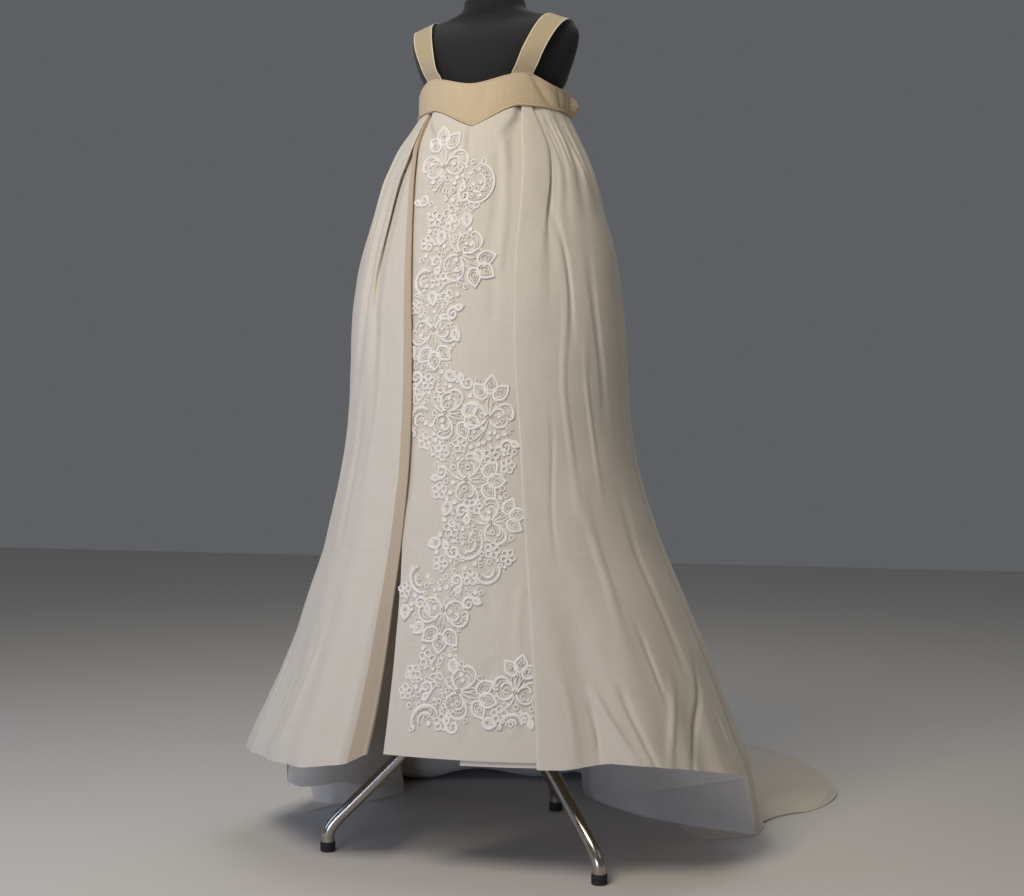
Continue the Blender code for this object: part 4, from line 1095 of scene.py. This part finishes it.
piping = grown("yoke_piping_cord",
               line_source("piping_line", round_yoke(PIPING_END, 180, 1, 0.0017, 0.0021)),
               roll, {"Radius": PIPING_R, "Sides": 10, "Finish": yoke_silk})
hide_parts("yoke_piping")
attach(piping, "root")
edge_roll = grown("yoke_rolled_edge",
                  line_source("edge_line", round_yoke(EDGE_ROLL_END, 180, 0, -0.0010, 0.0001)),
                  roll, {"Radius": EDGE_ROLL_R, "Sides": 8, "Finish": yoke_silk})
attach(edge_roll, "root")

# %% [markdown]
# ## Ribbon straps
# The straps are sheer ribbon: an open gauze with a firmer, paler selvedge along each edge. Each is one
# strip from inside the yoke's front, over the form's shoulder, to the inside of its back. The gauze is a
# material that lets light through between its threads, with the selvedges more solid, by the distance
# across the ribbon that its UV map gives.

# %% Sheer ribbon
RIBBON_WIDE, RIBBON_THICK = 0.037, 0.0008
# Columns: distance out; back; height; how much its outer edge drops; turn with the yoke's curve.
RIBBON_PATH = (
    (0.0860, -0.0850, 1.3200, 0.00, 0.60), (0.0950, -0.0800, 1.3450, 0.04, 0.45),
    (0.1040, -0.0680, 1.3700, 0.12, 0.30), (0.1120, -0.0500, 1.3935, 0.24, 0.16),
    (0.1180, -0.0270, 1.4101, 0.36, 0.06), (0.1210, 0.0000, 1.4180, 0.42, 0.00),
    (0.1210, 0.0250, 1.4175, 0.42, -0.04), (0.1180, 0.0500, 1.4061, 0.34, -0.12),
    (0.1120, 0.0700, 1.3850, 0.22, -0.26), (0.1020, 0.0830, 1.3540, 0.10, -0.42),
    (0.0900, 0.0865, 1.3200, 0.02, -0.58),
)
RIBBON_ENDS = ((37.4, 1.2900), (37.4, 1.3030), (142.6, 1.3000), (142.6, 1.2740))
RIBBON_TURN = 8.6
RIBBON_ROWS, RIBBON_COLUMNS = 130, 17


def sheer_ribbon():
    """Gauze that lets light through, with a firm selvedge along each edge."""
    made, tree, shader = finish_named("sheer_ribbon_gauze", "#CFC3A2", 0.7)
    threads = add(tree, "ShaderNodeTexCoord").outputs["UV"]
    sideways = add(tree, "ShaderNodeSeparateXYZ", {0: threads}).outputs["X"]
    across = add(tree, "ShaderNodeMath", {0: sideways}, operation="ABSOLUTE").outputs[0]
    selvedge = ranged(tree, across, RIBBON_WIDE / 2 - 0.0026, RIBBON_WIDE / 2 - 0.0018)
    gauze = texture(tree, threads, (900.0, 900.0, 1.0), Scale=1.0, Detail=1.0)
    cover = combined(tree, "MAXIMUM", ranged(tree, gauze, 0.3, 0.7, 0.55, 0.85), selvedge)
    tree.links.new(cover, shader.inputs["Alpha"])
    surfaced(tree, shader, mixed(tree, selvedge, "#CCBB98", "#E2D3B2"), gauze, 0.4, 0.0004, sheen=0.3)
    return made


def ribbon_grid():
    """A strap as a grid: three lines through its stations, and a smooth curve across them."""
    def sewn(end, way):
        turn = end[0] + way * RIBBON_TURN * np.array((-1.0, 0.0, 1.0))
        return np.column_stack([inside(turn, BAND + SEAM, YOKE_OVAL), np.full(3, end[1])])

    lines = [sewn(end, 1) for end in RIBBON_ENDS[:2]]
    for out, back, high, drop, curve in RIBBON_PATH:
        across = np.array((1.0, curve, -drop))
        across *= RIBBON_WIDE / 2 / np.linalg.norm(across)
        middle = np.array((out, back, high))
        lines.append(np.array([middle - across, middle, middle + across]))
    lines += [sewn(end, -1) for end in RIBBON_ENDS[2:]]
    coarse = np.array(lines)
    rows, fine = np.arange(len(coarse), dtype=float), np.linspace(0, len(coarse) - 1, RIBBON_ROWS)
    long = np.array([[curve_through(fine, rows, coarse[:, j, k]) for k in range(3)] for j in range(3)])
    at = np.linspace(0, 2, RIBBON_COLUMNS)
    edge = np.array([0.0, 1.0, 2.0])
    grid = np.array([[[curve_through(a, edge, long[:, k, i]) for k in range(3)] for a in at]
                     for i in range(len(fine))])
    wave = 0.0006 * np.sin(np.linspace(0, 30, RIBBON_ROWS))[:, None] * np.cos(
        np.linspace(0, 3.1, RIBBON_COLUMNS))[None]
    return grid + normals_of(grid) * wave[..., None]


ribbon_finish = sheer_ribbon()
grid = ribbon_grid()
facing = normals_of(grid)
inner = grid + facing * RIBBON_THICK * (1 if facing[60, 8, 2] < 0 else -1)
for name, mirror in (("left", -1.0), ("right", 1.0)):
    strap = shell(f"sheer_strap_{name}", grid, ribbon_finish, inner=inner, mirror=mirror)
    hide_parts(f"ribbon_{name}")
    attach(strap, "root")

# %% [markdown]
# ## Lace
# The panel's lace is guipure: heavy white embroidery of satin bands and cords with open spaces between
# them, sewn on by hand with pearls. It is lilies with three eyed petals and curling side leaves, joined
# by scrolls, small flowers and leaves in a band that wanders down the panel. Each motif here is a few
# curves drawn in its own flat axes. A curve becomes a band: a low rounded strip of closed mesh that is
# laid on the panel's function, so every motif follows the silk. The pearls are set by Geometry Nodes.

# %% Bands from curves
BAND_PROFILE = ((-1.18, 0.0), (-0.92, 0.70), (0.0, 1.0), (0.92, 0.70), (1.18, 0.0), (0.0, -0.3))
# A filled patch is a low dome: the share of its outline, and how high, from its underside to its crown.
PLATE_PROFILE = ((1.0, -0.3), (1.0, 0.35), (0.72, 0.80), (0.36, 1.0))


def laid(flat, up):
    """Flat places on the front panel, raised from it."""
    return on_panel(flat[:, 0], flat[:, 1]) + panel_facing(flat[:, 0], flat[:, 1]) * up


def as_band(line, closed, half, high, lift):
    """Points and faces of a rounded strip along a flat line, laid on the front panel."""
    line = np.asarray(line, float)
    if closed:
        tangent = np.roll(line, -1, axis=0) - np.roll(line, 1, axis=0)
    else:
        tangent = np.gradient(line, axis=0)
    tangent /= np.maximum(np.linalg.norm(tangent, axis=1, keepdims=True), 1e-9)
    aside = np.column_stack([-tangent[:, 1], tangent[:, 0]])
    half = np.broadcast_to(half, len(line))[:, None]
    points = np.stack([laid(line + aside * half * off, lift + high * up) for off, up in BAND_PROFILE],
                      axis=1)
    size = len(line), len(BAND_PROFILE)
    return points.reshape(-1, 3), ring_faces(*size, closed) + ([] if closed else end_faces(*size))


def as_plate(outline, high, lift):
    """Points and faces of a domed patch that fills an outline."""
    outline = np.asarray(outline, float)
    middle = outline.mean(axis=0)
    points = [laid(middle + (outline - middle) * share, lift + high * up) for share, up in PLATE_PROFILE]
    size = len(PLATE_PROFILE), len(outline)
    return np.concatenate(points), ring_faces(*size) + end_faces(*size)


def turned(line, angle, at):
    """A flat line turned clockwise by an angle from straight up and moved to its place."""
    a = math.radians(angle)
    line = np.asarray(line, float)
    return np.column_stack([line[:, 0] * math.cos(a) + line[:, 1] * math.sin(a),
                            -line[:, 0] * math.sin(a) + line[:, 1] * math.cos(a)]) + at


def petal(long, half, count=22, fullest=0.85):
    """A petal's outline from its base at the origin, straight up to a point, and back."""
    s = np.linspace(0.0, 1.0, count)
    wide = half * np.sin(np.pi * s ** fullest) ** (0.55 + 0.75 * s)
    side = np.column_stack([wide, s * long])
    return np.concatenate([side, side[-2:0:-1] * (-1, 1)])


def arch(*corners, count):
    """A smooth line from four corners."""
    a, b, c, d = (np.array(p, float) for p in corners)
    t = np.linspace(0, 1, count)[:, None]
    return (1 - t) ** 3 * a + 3 * t * (1 - t) ** 2 * b + 3 * t * t * (1 - t) * c + t ** 3 * d


def spiral(radius, turns, count=34):
    """A line that winds in to a fifth of its radius."""
    t = np.linspace(0, 1, count)
    r = radius * (1 - 0.80 * t ** 0.8)
    a = 2 * math.pi * turns * t
    return np.column_stack([r * np.cos(a), r * np.sin(a)])


def circle(radius, count, at=(0.0, 0.0)):
    a = 2 * math.pi * np.arange(count) / count
    return np.column_stack([radius * np.cos(a), radius * np.sin(a)]) + at


print("a petal's outline has", len(petal(0.05, 0.013)), "points")


# %% Motifs
# A motif is a list of lines in flat axes: points, closed or open, half width and height in mm, where a
# half width of 0 fills the outline. Then a list of pearls: place and radius in mm.
def eyed_petal(long, half, angle, at):
    """A petal with a broad satin edge, a fine cord inside it and a pearl for its eye."""
    eye = turned([(0, long * 0.50)], angle, at)[0]
    outline = turned(petal(long, half), angle, at)
    inner = turned(petal(long * 0.62, half * 0.56, 16) + (0, long * 0.16), angle, at)
    rim = circle(half * 0.30, 9, eye)
    return ([(outline, True, 2.1, 2.0), (inner, True, 0.9, 1.5), (rim, True, 0.8, 1.6)], [(eye, 1.7)])


def lily(size):
    """Three eyed petals over slim drops, with curling leaves at both sides and a beaded heart."""
    lines, pearls = [], []
    for base, angle, long, half in (((0.0, 0.56), 0, 0.44, 0.155), ((-0.10, 0.47), -47, 0.44, 0.150),
                                    ((0.10, 0.47), 47, 0.44, 0.150)):
        made, beads = eyed_petal(long * size, half * size, angle, np.array(base) * size)
        lines += made
        pearls += beads
    for angle, long in ((0, 0.46), (-21, 0.40), (21, 0.40)):
        drop = turned(petal(long * size, 0.046 * size, 14, 1.5) + (0, 0.08 * size), angle, (0, 0))
        lines.append((drop, True, 0.9, 1.8))
    for way in (-1.0, 1.0):
        for spread, half, high in ((1.0, 2.3, 2.1), (0.80, 0.9, 1.4), (0.64, 1.9, 1.9)):
            curl = arch((0.05, 0.06), (0.20 * spread, 0.42 * spread), (0.60 * spread, 0.46 * spread),
                        (0.60 * spread, 0.10), count=18) * size
            lines.append((curl * (way, 1), False, half * np.linspace(0.5, 1.0, 18) ** 0.7, high))
        hook = arch((0.60, 0.10), (0.60, -0.02), (0.46, -0.03), (0.46, 0.08), count=10) * size
        lines.append((hook * (way, 1), False, np.linspace(2.3, 1.2, 10), 1.9))
        for reach, half, high in ((1.0, 2.4, 2.1), (0.62, 1.3, 1.5)):
            under = arch((0.04, 0.0), (0.14 * reach, -0.24 * reach), (0.42 * reach, -0.26 * reach),
                         (0.48 * reach, -0.04), count=14) * size
            lines.append((under * (way, 1), False, half * np.linspace(1.0, 0.55, 14), high))
    for lean, half in ((-0.30, 1.5), (-0.16, 0.9)):
        stem = arch((0.0, -0.05), (0.0, -0.22), (lean * 0.5, -0.38), (lean, -0.52), count=12) * size
        lines.append((stem, False, np.linspace(half, half * 0.7, 12), 1.6))
    for k in range(7):
        a = 2 * math.pi * k / 7
        pearls.append((np.array((0.062 * math.sin(a), 0.03 + 0.056 * math.cos(a))) * size, 1.5))
    pearls.append((np.array((0.0, 0.03)) * size, 2.1))
    for way in (-1, 1):
        pearls += [(np.array((way * (0.12 + 0.06 * k), 0.06 + 0.02 * k)) * size, 1.2) for k in range(3)]
    return lines, pearls


def blossom(size):
    """Five petals round a corded ring and a pearl."""
    lines, pearls = [], [(np.zeros(2), 1.9)]
    for k in range(5):
        edge = turned(petal(size * 0.84, size * 0.38, 10, 1.15) + (0, size * 0.22), 72 * k, (0, 0))
        lines.append((edge, True, 1.35, 1.7))
    lines.append((circle(size * 0.25, 10), True, 0.9, 1.9))
    return lines, pearls


def scroll(size):
    """A coil with a fine cord round it, and one eyed petal that springs from it."""
    coil = spiral(size, 1.35)
    lines = [(coil, False, np.linspace(2.5, 1.4, len(coil)), 2.0)]
    outer = spiral(size * 1.36, 0.60, 22)
    lines.append((outer, False, np.linspace(0.8, 1.3, len(outer)), 1.3))
    made, beads = eyed_petal(size * 1.15, size * 0.36, 140, (size * 0.9, size * 0.1))
    return lines + made, [(np.zeros(2), 1.7)] + beads


def eyed_leaf(size):
    """One eyed petal alone."""
    return eyed_petal(size * 1.9, size * 0.66, 0, (0, 0))


def half_moon(size):
    """A crescent: a broad outer band, a fine cord, and rows of pearls inside a second broad band."""
    lines, pearls = [], [(np.zeros(2), 1.7)]
    for reach, half in ((1.0, 2.4), (0.84, 0.8), (0.46, 2.0)):
        a = np.radians(np.linspace(-118, 98, 26))
        lines.append((np.column_stack([np.cos(a) * 0.82, np.sin(a)]) * size * reach, False,
                      half * (0.55 + 0.45 * np.sin(np.linspace(0.2, np.pi - 0.2, 26))), 1.9))
    for row, reach in enumerate((0.60, 0.72)):
        for angle in range(-95 + 12 * row, 85, 24):
            a = math.radians(angle)
            pearls.append((np.array((math.cos(a) * 0.82, math.sin(a))) * size * reach, 1.3))
    for angle, at in ((200, (0.3, -0.88)), (-20, (0.12, 0.92))):
        a = turned(petal(size * 0.42, size * 0.13, 8), angle, np.array(at) * size)
        lines.append((a, True, 1.2, 1.5))
    return lines, pearls


def sprig(size):
    """Three drops on a stalk."""
    lines = [(arch((0, 0), (0.1, 0.3), (-0.1, 0.7), (0, 1.0), count=12) * size, False, 1.1, 1.4)]
    pearls = []
    for angle, up in ((-55, 0.25), (55, 0.45), (0, 0.85)):
        drop = turned(petal(size * 0.62, size * 0.20, 10), angle, (0, up * size))
        lines.append((drop, True, 1.4, 1.7))
        pearls.append((turned([(0, size * 0.34)], angle, (0, up * size))[0], 1.1))
    return lines, pearls


def loop(size):
    """A small corded loop round a pearl, which fills the gaps between the larger motifs."""
    return [(circle(size, 9), True, min(1.1, size * 330), 1.3)], [(np.zeros(2), min(1.4, size * 330))]


def bud(size):
    """A small filled leaf."""
    edge = petal(size * 2.1, size * 0.8, 8) - (0, size)
    return [(edge, True, 0.0, 0.9), (edge, True, 0.9, 1.4)], []


MOTIFS = {"lily": lily, "blossom": blossom, "scroll": scroll, "leaf": eyed_leaf, "moon": half_moon,
          "sprig": sprig, "loop": loop, "bud": bud}
print("motifs:", ", ".join(MOTIFS))

# %% Layout of the lace
# Columns: motif; across from the centre front and height of its heart, in mm; the way it points, in
# degrees clockwise from straight up; size in mm.
LACE = [
    ("lily", -40, 1147, -6, 72), ("moon", 22, 1118, 12, 33), ("scroll", 0, 1098, 240, 12),
    ("scroll", -76, 1096, 150, 11), ("sprig", -28, 1086, 170, 24), ("blossom", -52, 1062, 0, 14),
    ("blossom", -20, 1052, 20, 14), ("leaf", 6, 1068, 175, 12), ("leaf", -36, 1040, 190, 12),
    ("blossom", -64, 1022, 10, 13), ("lily", -4, 1002, 122, 74), ("scroll", -46, 990, 60, 12),
    ("blossom", -34, 958, 30, 13), ("moon", -66, 958, 190, 19), ("leaf", -50, 940, 170, 12),
    ("sprig", -20, 946, 190, 24), ("lily", -44, 880, 176, 70), ("scroll", -10, 902, 300, 12),
    ("blossom", -80, 916, 0, 12), ("leaf", -8, 876, 150, 11), ("leaf", -82, 850, 200, 11),
    ("scroll", -74, 800, 90, 13), ("blossom", -50, 792, 0, 13), ("leaf", -18, 806, 120, 12),
    ("blossom", -74, 768, 25, 13), ("sprig", -34, 784, 160, 20), ("lily", -18, 742, 108, 68),
    ("lily", 58, 732, 4, 70), ("moon", -64, 730, 200, 22), ("scroll", 22, 790, 200, 12),
    ("blossom", -52, 696, 10, 14), ("blossom", 12, 690, 0, 13), ("scroll", 90, 686, 330, 12),
    ("leaf", 42, 682, 165, 12), ("blossom", -20, 678, 30, 13), ("blossom", 66, 672, 12, 13),
    ("lily", 22, 634, 92, 70), ("blossom", 94, 656, 12, 12), ("scroll", -20, 648, 120, 12),
    ("blossom", -22, 616, 0, 13), ("leaf", -4, 598, 200, 12), ("scroll", 18, 584, 40, 13),
    ("lily", 66, 566, 74, 62), ("blossom", 42, 592, 20, 12), ("blossom", 2, 556, 0, 14),
    ("moon", 34, 530, 40, 23), ("blossom", 72, 522, 15, 13), ("blossom", 98, 512, 30, 12),
    ("scroll", 6, 520, 200, 13), ("leaf", -18, 536, 250, 12), ("moon", 66, 488, 60, 20),
    ("blossom", 36, 480, 0, 13), ("blossom", -16, 500, 20, 13), ("moon", -52, 474, 150, 21),
    ("blossom", -80, 456, 0, 12), ("scroll", 12, 474, 60, 12), ("lily", -8, 430, 186, 72),
    ("scroll", -50, 436, 20, 13), ("leaf", -76, 432, 190, 12), ("scroll", 34, 438, 330, 12),
    ("leaf", -44, 404, 230, 12), ("blossom", -34, 350, 10, 14), ("leaf", 10, 350, 168, 12),
    ("blossom", -58, 326, 30, 14), ("sprig", -14, 334, 195, 22), ("lily", 20, 302, 104, 70),
    ("scroll", -34, 306, 80, 12), ("blossom", -70, 296, 0, 12), ("moon", -34, 256, 230, 24),
    ("blossom", -4, 252, 0, 13), ("scroll", 16, 246, 210, 12), ("lily", 116, 300, 10, 62),
    ("blossom", 92, 268, 0, 13), ("moon", 112, 254, 250, 18), ("leaf", 66, 256, 100, 12),
    ("scroll", 132, 262, 20, 11),
]
# Motifs that cross lie at three heights, a step apart.
LACE_LIFT, LACE_STEP = 0.0004, 0.0002
# Small motifs: the seed and number of tries; how near the drawn lines are looked for, in how many of the
# eight directions they have to lie, and the room left between; smallest and largest size; share of buds.
FILL_SEED, FILL_TRIES, FILL_REACH, FILL_SIDES, FILL_ROOM = 41, 6000, 0.021, 6, 0.0019
FILL_LEAST, FILL_MOST, BUD_SHARE = 0.0017, 0.0040, 0.45


def motif_parts(kind, x_mm, z_mm, angle, size_mm):
    """A motif's lines and pearls, moved to their places on the flat panel."""
    at = np.array((x_mm, z_mm)) / 1000
    lines, beads = MOTIFS[kind](size_mm / 1000)
    return ([(turned(line, angle, at), closed, half, high) for line, closed, half, high in lines],
            [(turned([place], angle, at)[0], radius / 1000) for place, radius in beads])


def between_motifs(rows):
    """Small loops and buds for the gaps, well inside the band that the rows make."""
    drawn = np.concatenate([line[::2] for row in rows for line, *_ in motif_parts(*row)[0]])
    chance = np.random.default_rng(FILL_SEED)
    added = []
    low, high = drawn.min(axis=0), drawn.max(axis=0)
    for x, z in chance.uniform(low, high, (FILL_TRIES, 2)):
        off = drawn - (x, z)
        away = np.hypot(*off.T)
        room = away.min() - FILL_ROOM
        if room < FILL_LEAST:
            continue
        around = off[away < FILL_REACH]
        sides = np.unique((np.arctan2(around[:, 1], around[:, 0]) // (math.pi / 4)).astype(int))
        if len(sides) < FILL_SIDES:
            continue
        size = min(room, FILL_MOST)
        kind = "bud" if chance.random() < BUD_SHARE else "loop"
        added.append((kind, x * 1000, z * 1000, chance.uniform(0, 360), size * 1000))
        drawn = np.concatenate([drawn, circle(size, 8, (x, z)), [(x, z)]])
    return added


def lay_lace(rows):
    """Points and faces of all motifs, and the flat places and radii of their pearls."""
    points, faces, pearls = [], [], []
    count = 0
    for k, row in enumerate(rows):
        lines, beads = motif_parts(*row)
        lift = LACE_LIFT + LACE_STEP * (k % 3)
        for line, closed, half_mm, high_mm in lines:
            if np.ndim(half_mm) == 0 and half_mm == 0:
                made, sides = as_plate(line, high_mm / 1000, lift)
            else:
                made, sides = as_band(line, closed, np.asarray(half_mm) / 1000, high_mm / 1000, lift)
            points.append(made)
            faces += [tuple(count + i for i in face) for face in sides]
            count += len(made)
        pearls += beads
    return swayed(np.concatenate(points)), faces, pearls


def guipure():
    """Cotton satin stitch: matt white threads that lie side by side, 0.5 mm apart, drawn at 0.9 mm."""
    made, tree, shader = finish_named("cotton_guipure", "#EFE8DA", 0.7)
    where = add(tree, "ShaderNodeTexCoord").outputs["Object"]
    satin = texture(tree, where, Scale=1100.0, Detail=1.0)
    colour = mixed(tree, texture(tree, where, Scale=60.0, Detail=2.0), "#FCF9F2", "#EFE8DB")
    surfaced(tree, shader, colour, satin, 0.4, 0.0004, sheen=0.15)
    return made


lace_finish = guipure()
fill = between_motifs(LACE)
lace_points, lace_faces, pearl_places = lay_lace(LACE + fill)
print("lace:", len(LACE), "motifs,", len(fill), "small ones between,", len(lace_faces), "faces,",
      len(pearl_places), "pearls")

# %% Lace as pieces
# One piece for each third of the panel, so that none is too heavy to export.
face_at = np.array([lace_points[face[0], 2] for face in lace_faces])
LACE_THIRDS = (("upper", 0.83, 2.0), ("middle", 0.49, 0.83), ("lower", 0.0, 0.49))
for name, low, high in LACE_THIRDS:
    own = [lace_faces[k] for k in np.flatnonzero((face_at >= low) & (face_at < high))]
    used = np.unique([i for face in own for i in face])
    renamed = np.full(len(lace_points), -1)
    renamed[used] = np.arange(len(used))
    faces = [tuple(renamed[list(face)]) for face in own]
    lace = mesh_object(f"lace_{name}", lace_points[used], faces, lace_finish)
    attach(lace, "root")
    print(lace.name, len(own), "faces")


# %% Pearls
def pearl_tree():
    """One small ball at each point, as large as the point's radius attribute says."""
    tree, given = new_tree("pearls_on_points", {"Points": "Geometry", "Unevenness": "Float",
                                                "Finish": "Material"}, "Pearls")
    ball = add(tree, "GeometryNodeMeshIcoSphere", {"Radius": 1.0, "Subdivisions": 2}).outputs["Mesh"]
    size = add(tree, "GeometryNodeInputNamedAttribute", {"Name": "size"}, data_type="FLOAT")
    least = combined(tree, "SUBTRACT", 1.0, given["Unevenness"])
    chance = add(tree, "FunctionNodeRandomValue", {"Min": least, "Max": 1.0, "Seed": 7}, data_type="FLOAT")
    scale = combined(tree, "MULTIPLY", size.outputs["Attribute"], chance.outputs[1])
    placed = add(tree, "GeometryNodeInstanceOnPoints",
                 {"Points": given["Points"], "Instance": ball, "Scale": scale})
    return end_tree(tree, placed.outputs[0], given["Finish"])


# A pearl's middle stands this far over the silk, and this share of its radius more.
PEARL_LIFT, PEARL_RAISED = 0.0009, 0.6
pearl_finish, pearl_nodes, pearl_shader = finish_named("glass_pearl", "#F6F0E6", 0.16)
pearl_shader.inputs["Coat Weight"].default_value = 0.6
pearl_shader.inputs["Sheen Weight"].default_value = 0.2
pearl_cloud = texture(pearl_nodes, add(pearl_nodes, "ShaderNodeTexCoord").outputs["Object"], Scale=300.0)
pearl_colour = mixed(pearl_nodes, pearl_cloud, "#FCF8F0", "#E6DAC6")
pearl_nodes.links.new(pearl_colour, pearl_shader.inputs["Base Color"])

flat, sizes = (np.array(column) for column in zip(*pearl_places))
places = swayed(laid(flat, PEARL_LIFT + sizes[:, None] * PEARL_RAISED))
pearl_points = source_of("pearl_points", places)
pearl_points.data.attributes.new("size", "FLOAT", "POINT").data.foreach_set("value", sizes)
pearls = grown("pearls", pearl_points, pearl_tree(), {"Unevenness": 0.18, "Finish": pearl_finish})
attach(pearls, "root")

# %% [markdown]
# ## Form and stand
# The form is padded and covered with black stretch jersey, sewn from long panels. The stand is chromed
# steel tube: three legs bent down at their ends and pushed into rubber feet, welded to a hub under the
# column. The legs are rolled along the solids' own line with more sides, so that they are round.

# %% Form
# Columns: height; half width; half depth; how far its middle lies back.
TORSO = np.array((
    (0.800, 0.060, 0.045, 0.000), (0.806, 0.104, 0.082, 0.000), (0.830, 0.126, 0.100, 0.002),
    (0.900, 0.138, 0.110, 0.004), (0.980, 0.134, 0.106, 0.004), (1.060, 0.116, 0.092, 0.002),
    (1.130, 0.104, 0.084, 0.000), (1.200, 0.108, 0.087, 0.000), (1.292, 0.113, 0.091, 0.000),
    (1.330, 0.134, 0.096, 0.002), (1.365, 0.146, 0.088, 0.004), (1.388, 0.150, 0.073, 0.006),
    (1.402, 0.145, 0.060, 0.008), (1.412, 0.131, 0.051, 0.010), (1.420, 0.108, 0.047, 0.010),
    (1.428, 0.076, 0.048, 0.008), (1.436, 0.056, 0.049, 0.006), (1.452, 0.053, 0.048, 0.004),
))
FORM_SIDES, FORM_STEPS, FORM_SOFTENED = 72, 5, 4
FORM_SEAMS = (0.0, 52.0, 128.0, 180.0, 232.0, 308.0)


def black_jersey():
    """Knitted cotton over padding: near black, matt, with a fine rib."""
    made, tree, shader = finish_named("black_knitted_jersey", "#0C0C0E", 0.85)
    where = add(tree, "ShaderNodeTexCoord").outputs["Object"]
    rib = texture(tree, where, (700.0, 700.0, 180.0), Scale=1.0)
    surfaced(tree, shader, mixed(tree, rib, "#070708", "#19191C"), rib, 0.35, 0.0006, sheen=0.12)
    return made


jersey = black_jersey()
rings = []
for i in range(len(TORSO) - 1):
    for k in range(FORM_STEPS if i < len(TORSO) - 2 else FORM_STEPS + 1):
        rings.append(TORSO[i] + (TORSO[i + 1] - TORSO[i]) * k / FORM_STEPS)
rings = np.array(rings)
for _ in range(FORM_SOFTENED):
    rings[2:-2] = 0.5 * rings[2:-2] + 0.25 * (rings[1:-3] + rings[3:-1])
turn = np.linspace(0, 360, FORM_SIDES, endpoint=False)
pressed = np.zeros(FORM_SIDES)
for seam in FORM_SEAMS:
    pressed += 0.0009 * bump((turn - seam + 180) % 360 - 180, 4.0)
form_points = [((across - p) * math.sin(math.radians(a)), back - (deep - p) * math.cos(math.radians(a)), z)
               for z, across, deep, back in rings for a, p in zip(turn, pressed)]
form_faces = ring_faces(len(rings), FORM_SIDES) + end_faces(len(rings), FORM_SIDES)
body = mesh_object("jersey_form", form_points, form_faces, jersey)
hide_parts("form")
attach(body, "root")
print("form:", len(form_faces), "faces")


# %% Steel and rubber
def polished_tube():
    """Chromed steel tube: bright, with fine polishing lines and a few dull smudges."""
    made, tree, shader = finish_named("polished_chromed_steel", "#B6AFA4", 0.2, metallic=1.0)
    where = add(tree, "ShaderNodeTexCoord").outputs["Object"]
    dull = ranged(tree, texture(tree, where, Scale=34.0, Detail=4.0), 0.35, 0.75, 0.13, 0.34)
    tree.links.new(dull, shader.inputs["Roughness"])
    surfaced(tree, shader, None, texture(tree, where, (900.0, 900.0, 40.0), Scale=1.0), 0.08, 0.0002)
    return made


def moulded_rubber():
    """Black rubber with a fine grain."""
    made, tree, shader = finish_named("moulded_black_rubber", "#1B1A19", 0.72)
    where = add(tree, "ShaderNodeTexCoord").outputs["Object"]
    grain = texture(tree, where, Scale=420.0, Detail=3.0)
    surfaced(tree, shader, mixed(tree, grain, "#141312", "#2B2927"), grain, 0.3, 0.0004)
    return made


steel, rubber = polished_tube(), moulded_rubber()
LEG_R = 0.011
# A leg's line: distance from the column and height at the hub, at the knee and above the foot.
LEG_ROOT, LEG_KNEE, LEG_FOOT = (0.0335, 0.2805), (0.2600, 0.0620), (0.2840, 0.0240)
LEG_AZIMUTHS = (-65.7, 54.3, 174.3)
LEG_BEND_HIGH, FOOT_HIGH = 0.0400, 0.0160
root, knee, end = (np.array(place) for place in (LEG_ROOT, LEG_KNEE, LEG_FOOT))
bend = bezier(knee, np.array((LEG_FOOT[0], LEG_BEND_HIGH)), end, np.linspace(0, 1, 16))
slope = root + (knee - root) * np.linspace(0, 1, 8)[:-1, None]
leg_line = np.concatenate([slope, bend, [(LEG_FOOT[0], FOOT_HIGH - 0.004)]])
# A rubber foot is a turned profile: radius and height.
FOOT_PROFILE = ((0.0118, 0.0), (0.0128, 0.0012), (0.0128, 0.0050), (0.0122, 0.0058), (0.0128, 0.0066),
                (0.0128, 0.0148), (0.0121, 0.0160))
FOOT_SIDES = 32
for number, azimuth in enumerate(LEG_AZIMUTHS, 1):
    a = math.radians(azimuth)
    out = np.array((math.sin(a), -math.cos(a)))
    line = np.column_stack([leg_line[:, [0]] * out, leg_line[:, 1]])
    leg = grown(f"tube_leg_{number}", line_source(f"leg_line_{number}", line), roll,
                {"Radius": LEG_R, "Sides": 28, "Finish": steel})
    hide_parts(f"leg_{number}")
    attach(leg, "root")
    middle = np.array((*(out * LEG_FOOT[0]), 0.0))
    foot_points = [middle, middle + (0.0, 0.0, FOOT_HIGH)]
    foot_points += [middle + (r * math.cos(around), r * math.sin(around), z)
                    for r, z in FOOT_PROFILE for around in 2 * math.pi * np.arange(FOOT_SIDES) / FOOT_SIDES]
    top = 2 + (len(FOOT_PROFILE) - 1) * FOOT_SIDES
    foot_faces = [(hub, low + k, low + (k + 1) % FOOT_SIDES)
                  for hub, low in ((0, 2), (1, top)) for k in range(FOOT_SIDES)]
    foot_faces += ring_faces(len(FOOT_PROFILE), FOOT_SIDES, first=2)
    foot = mesh_object(f"rubber_foot_{number}", foot_points, foot_faces, rubber)
    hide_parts(f"foot_{number}")
    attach(foot, "root")
for node in ("column", "hub"):
    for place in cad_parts[node].material_slots:
        place.material = steel
print("the legs reach", LEG_FOOT[0], "m from the column")
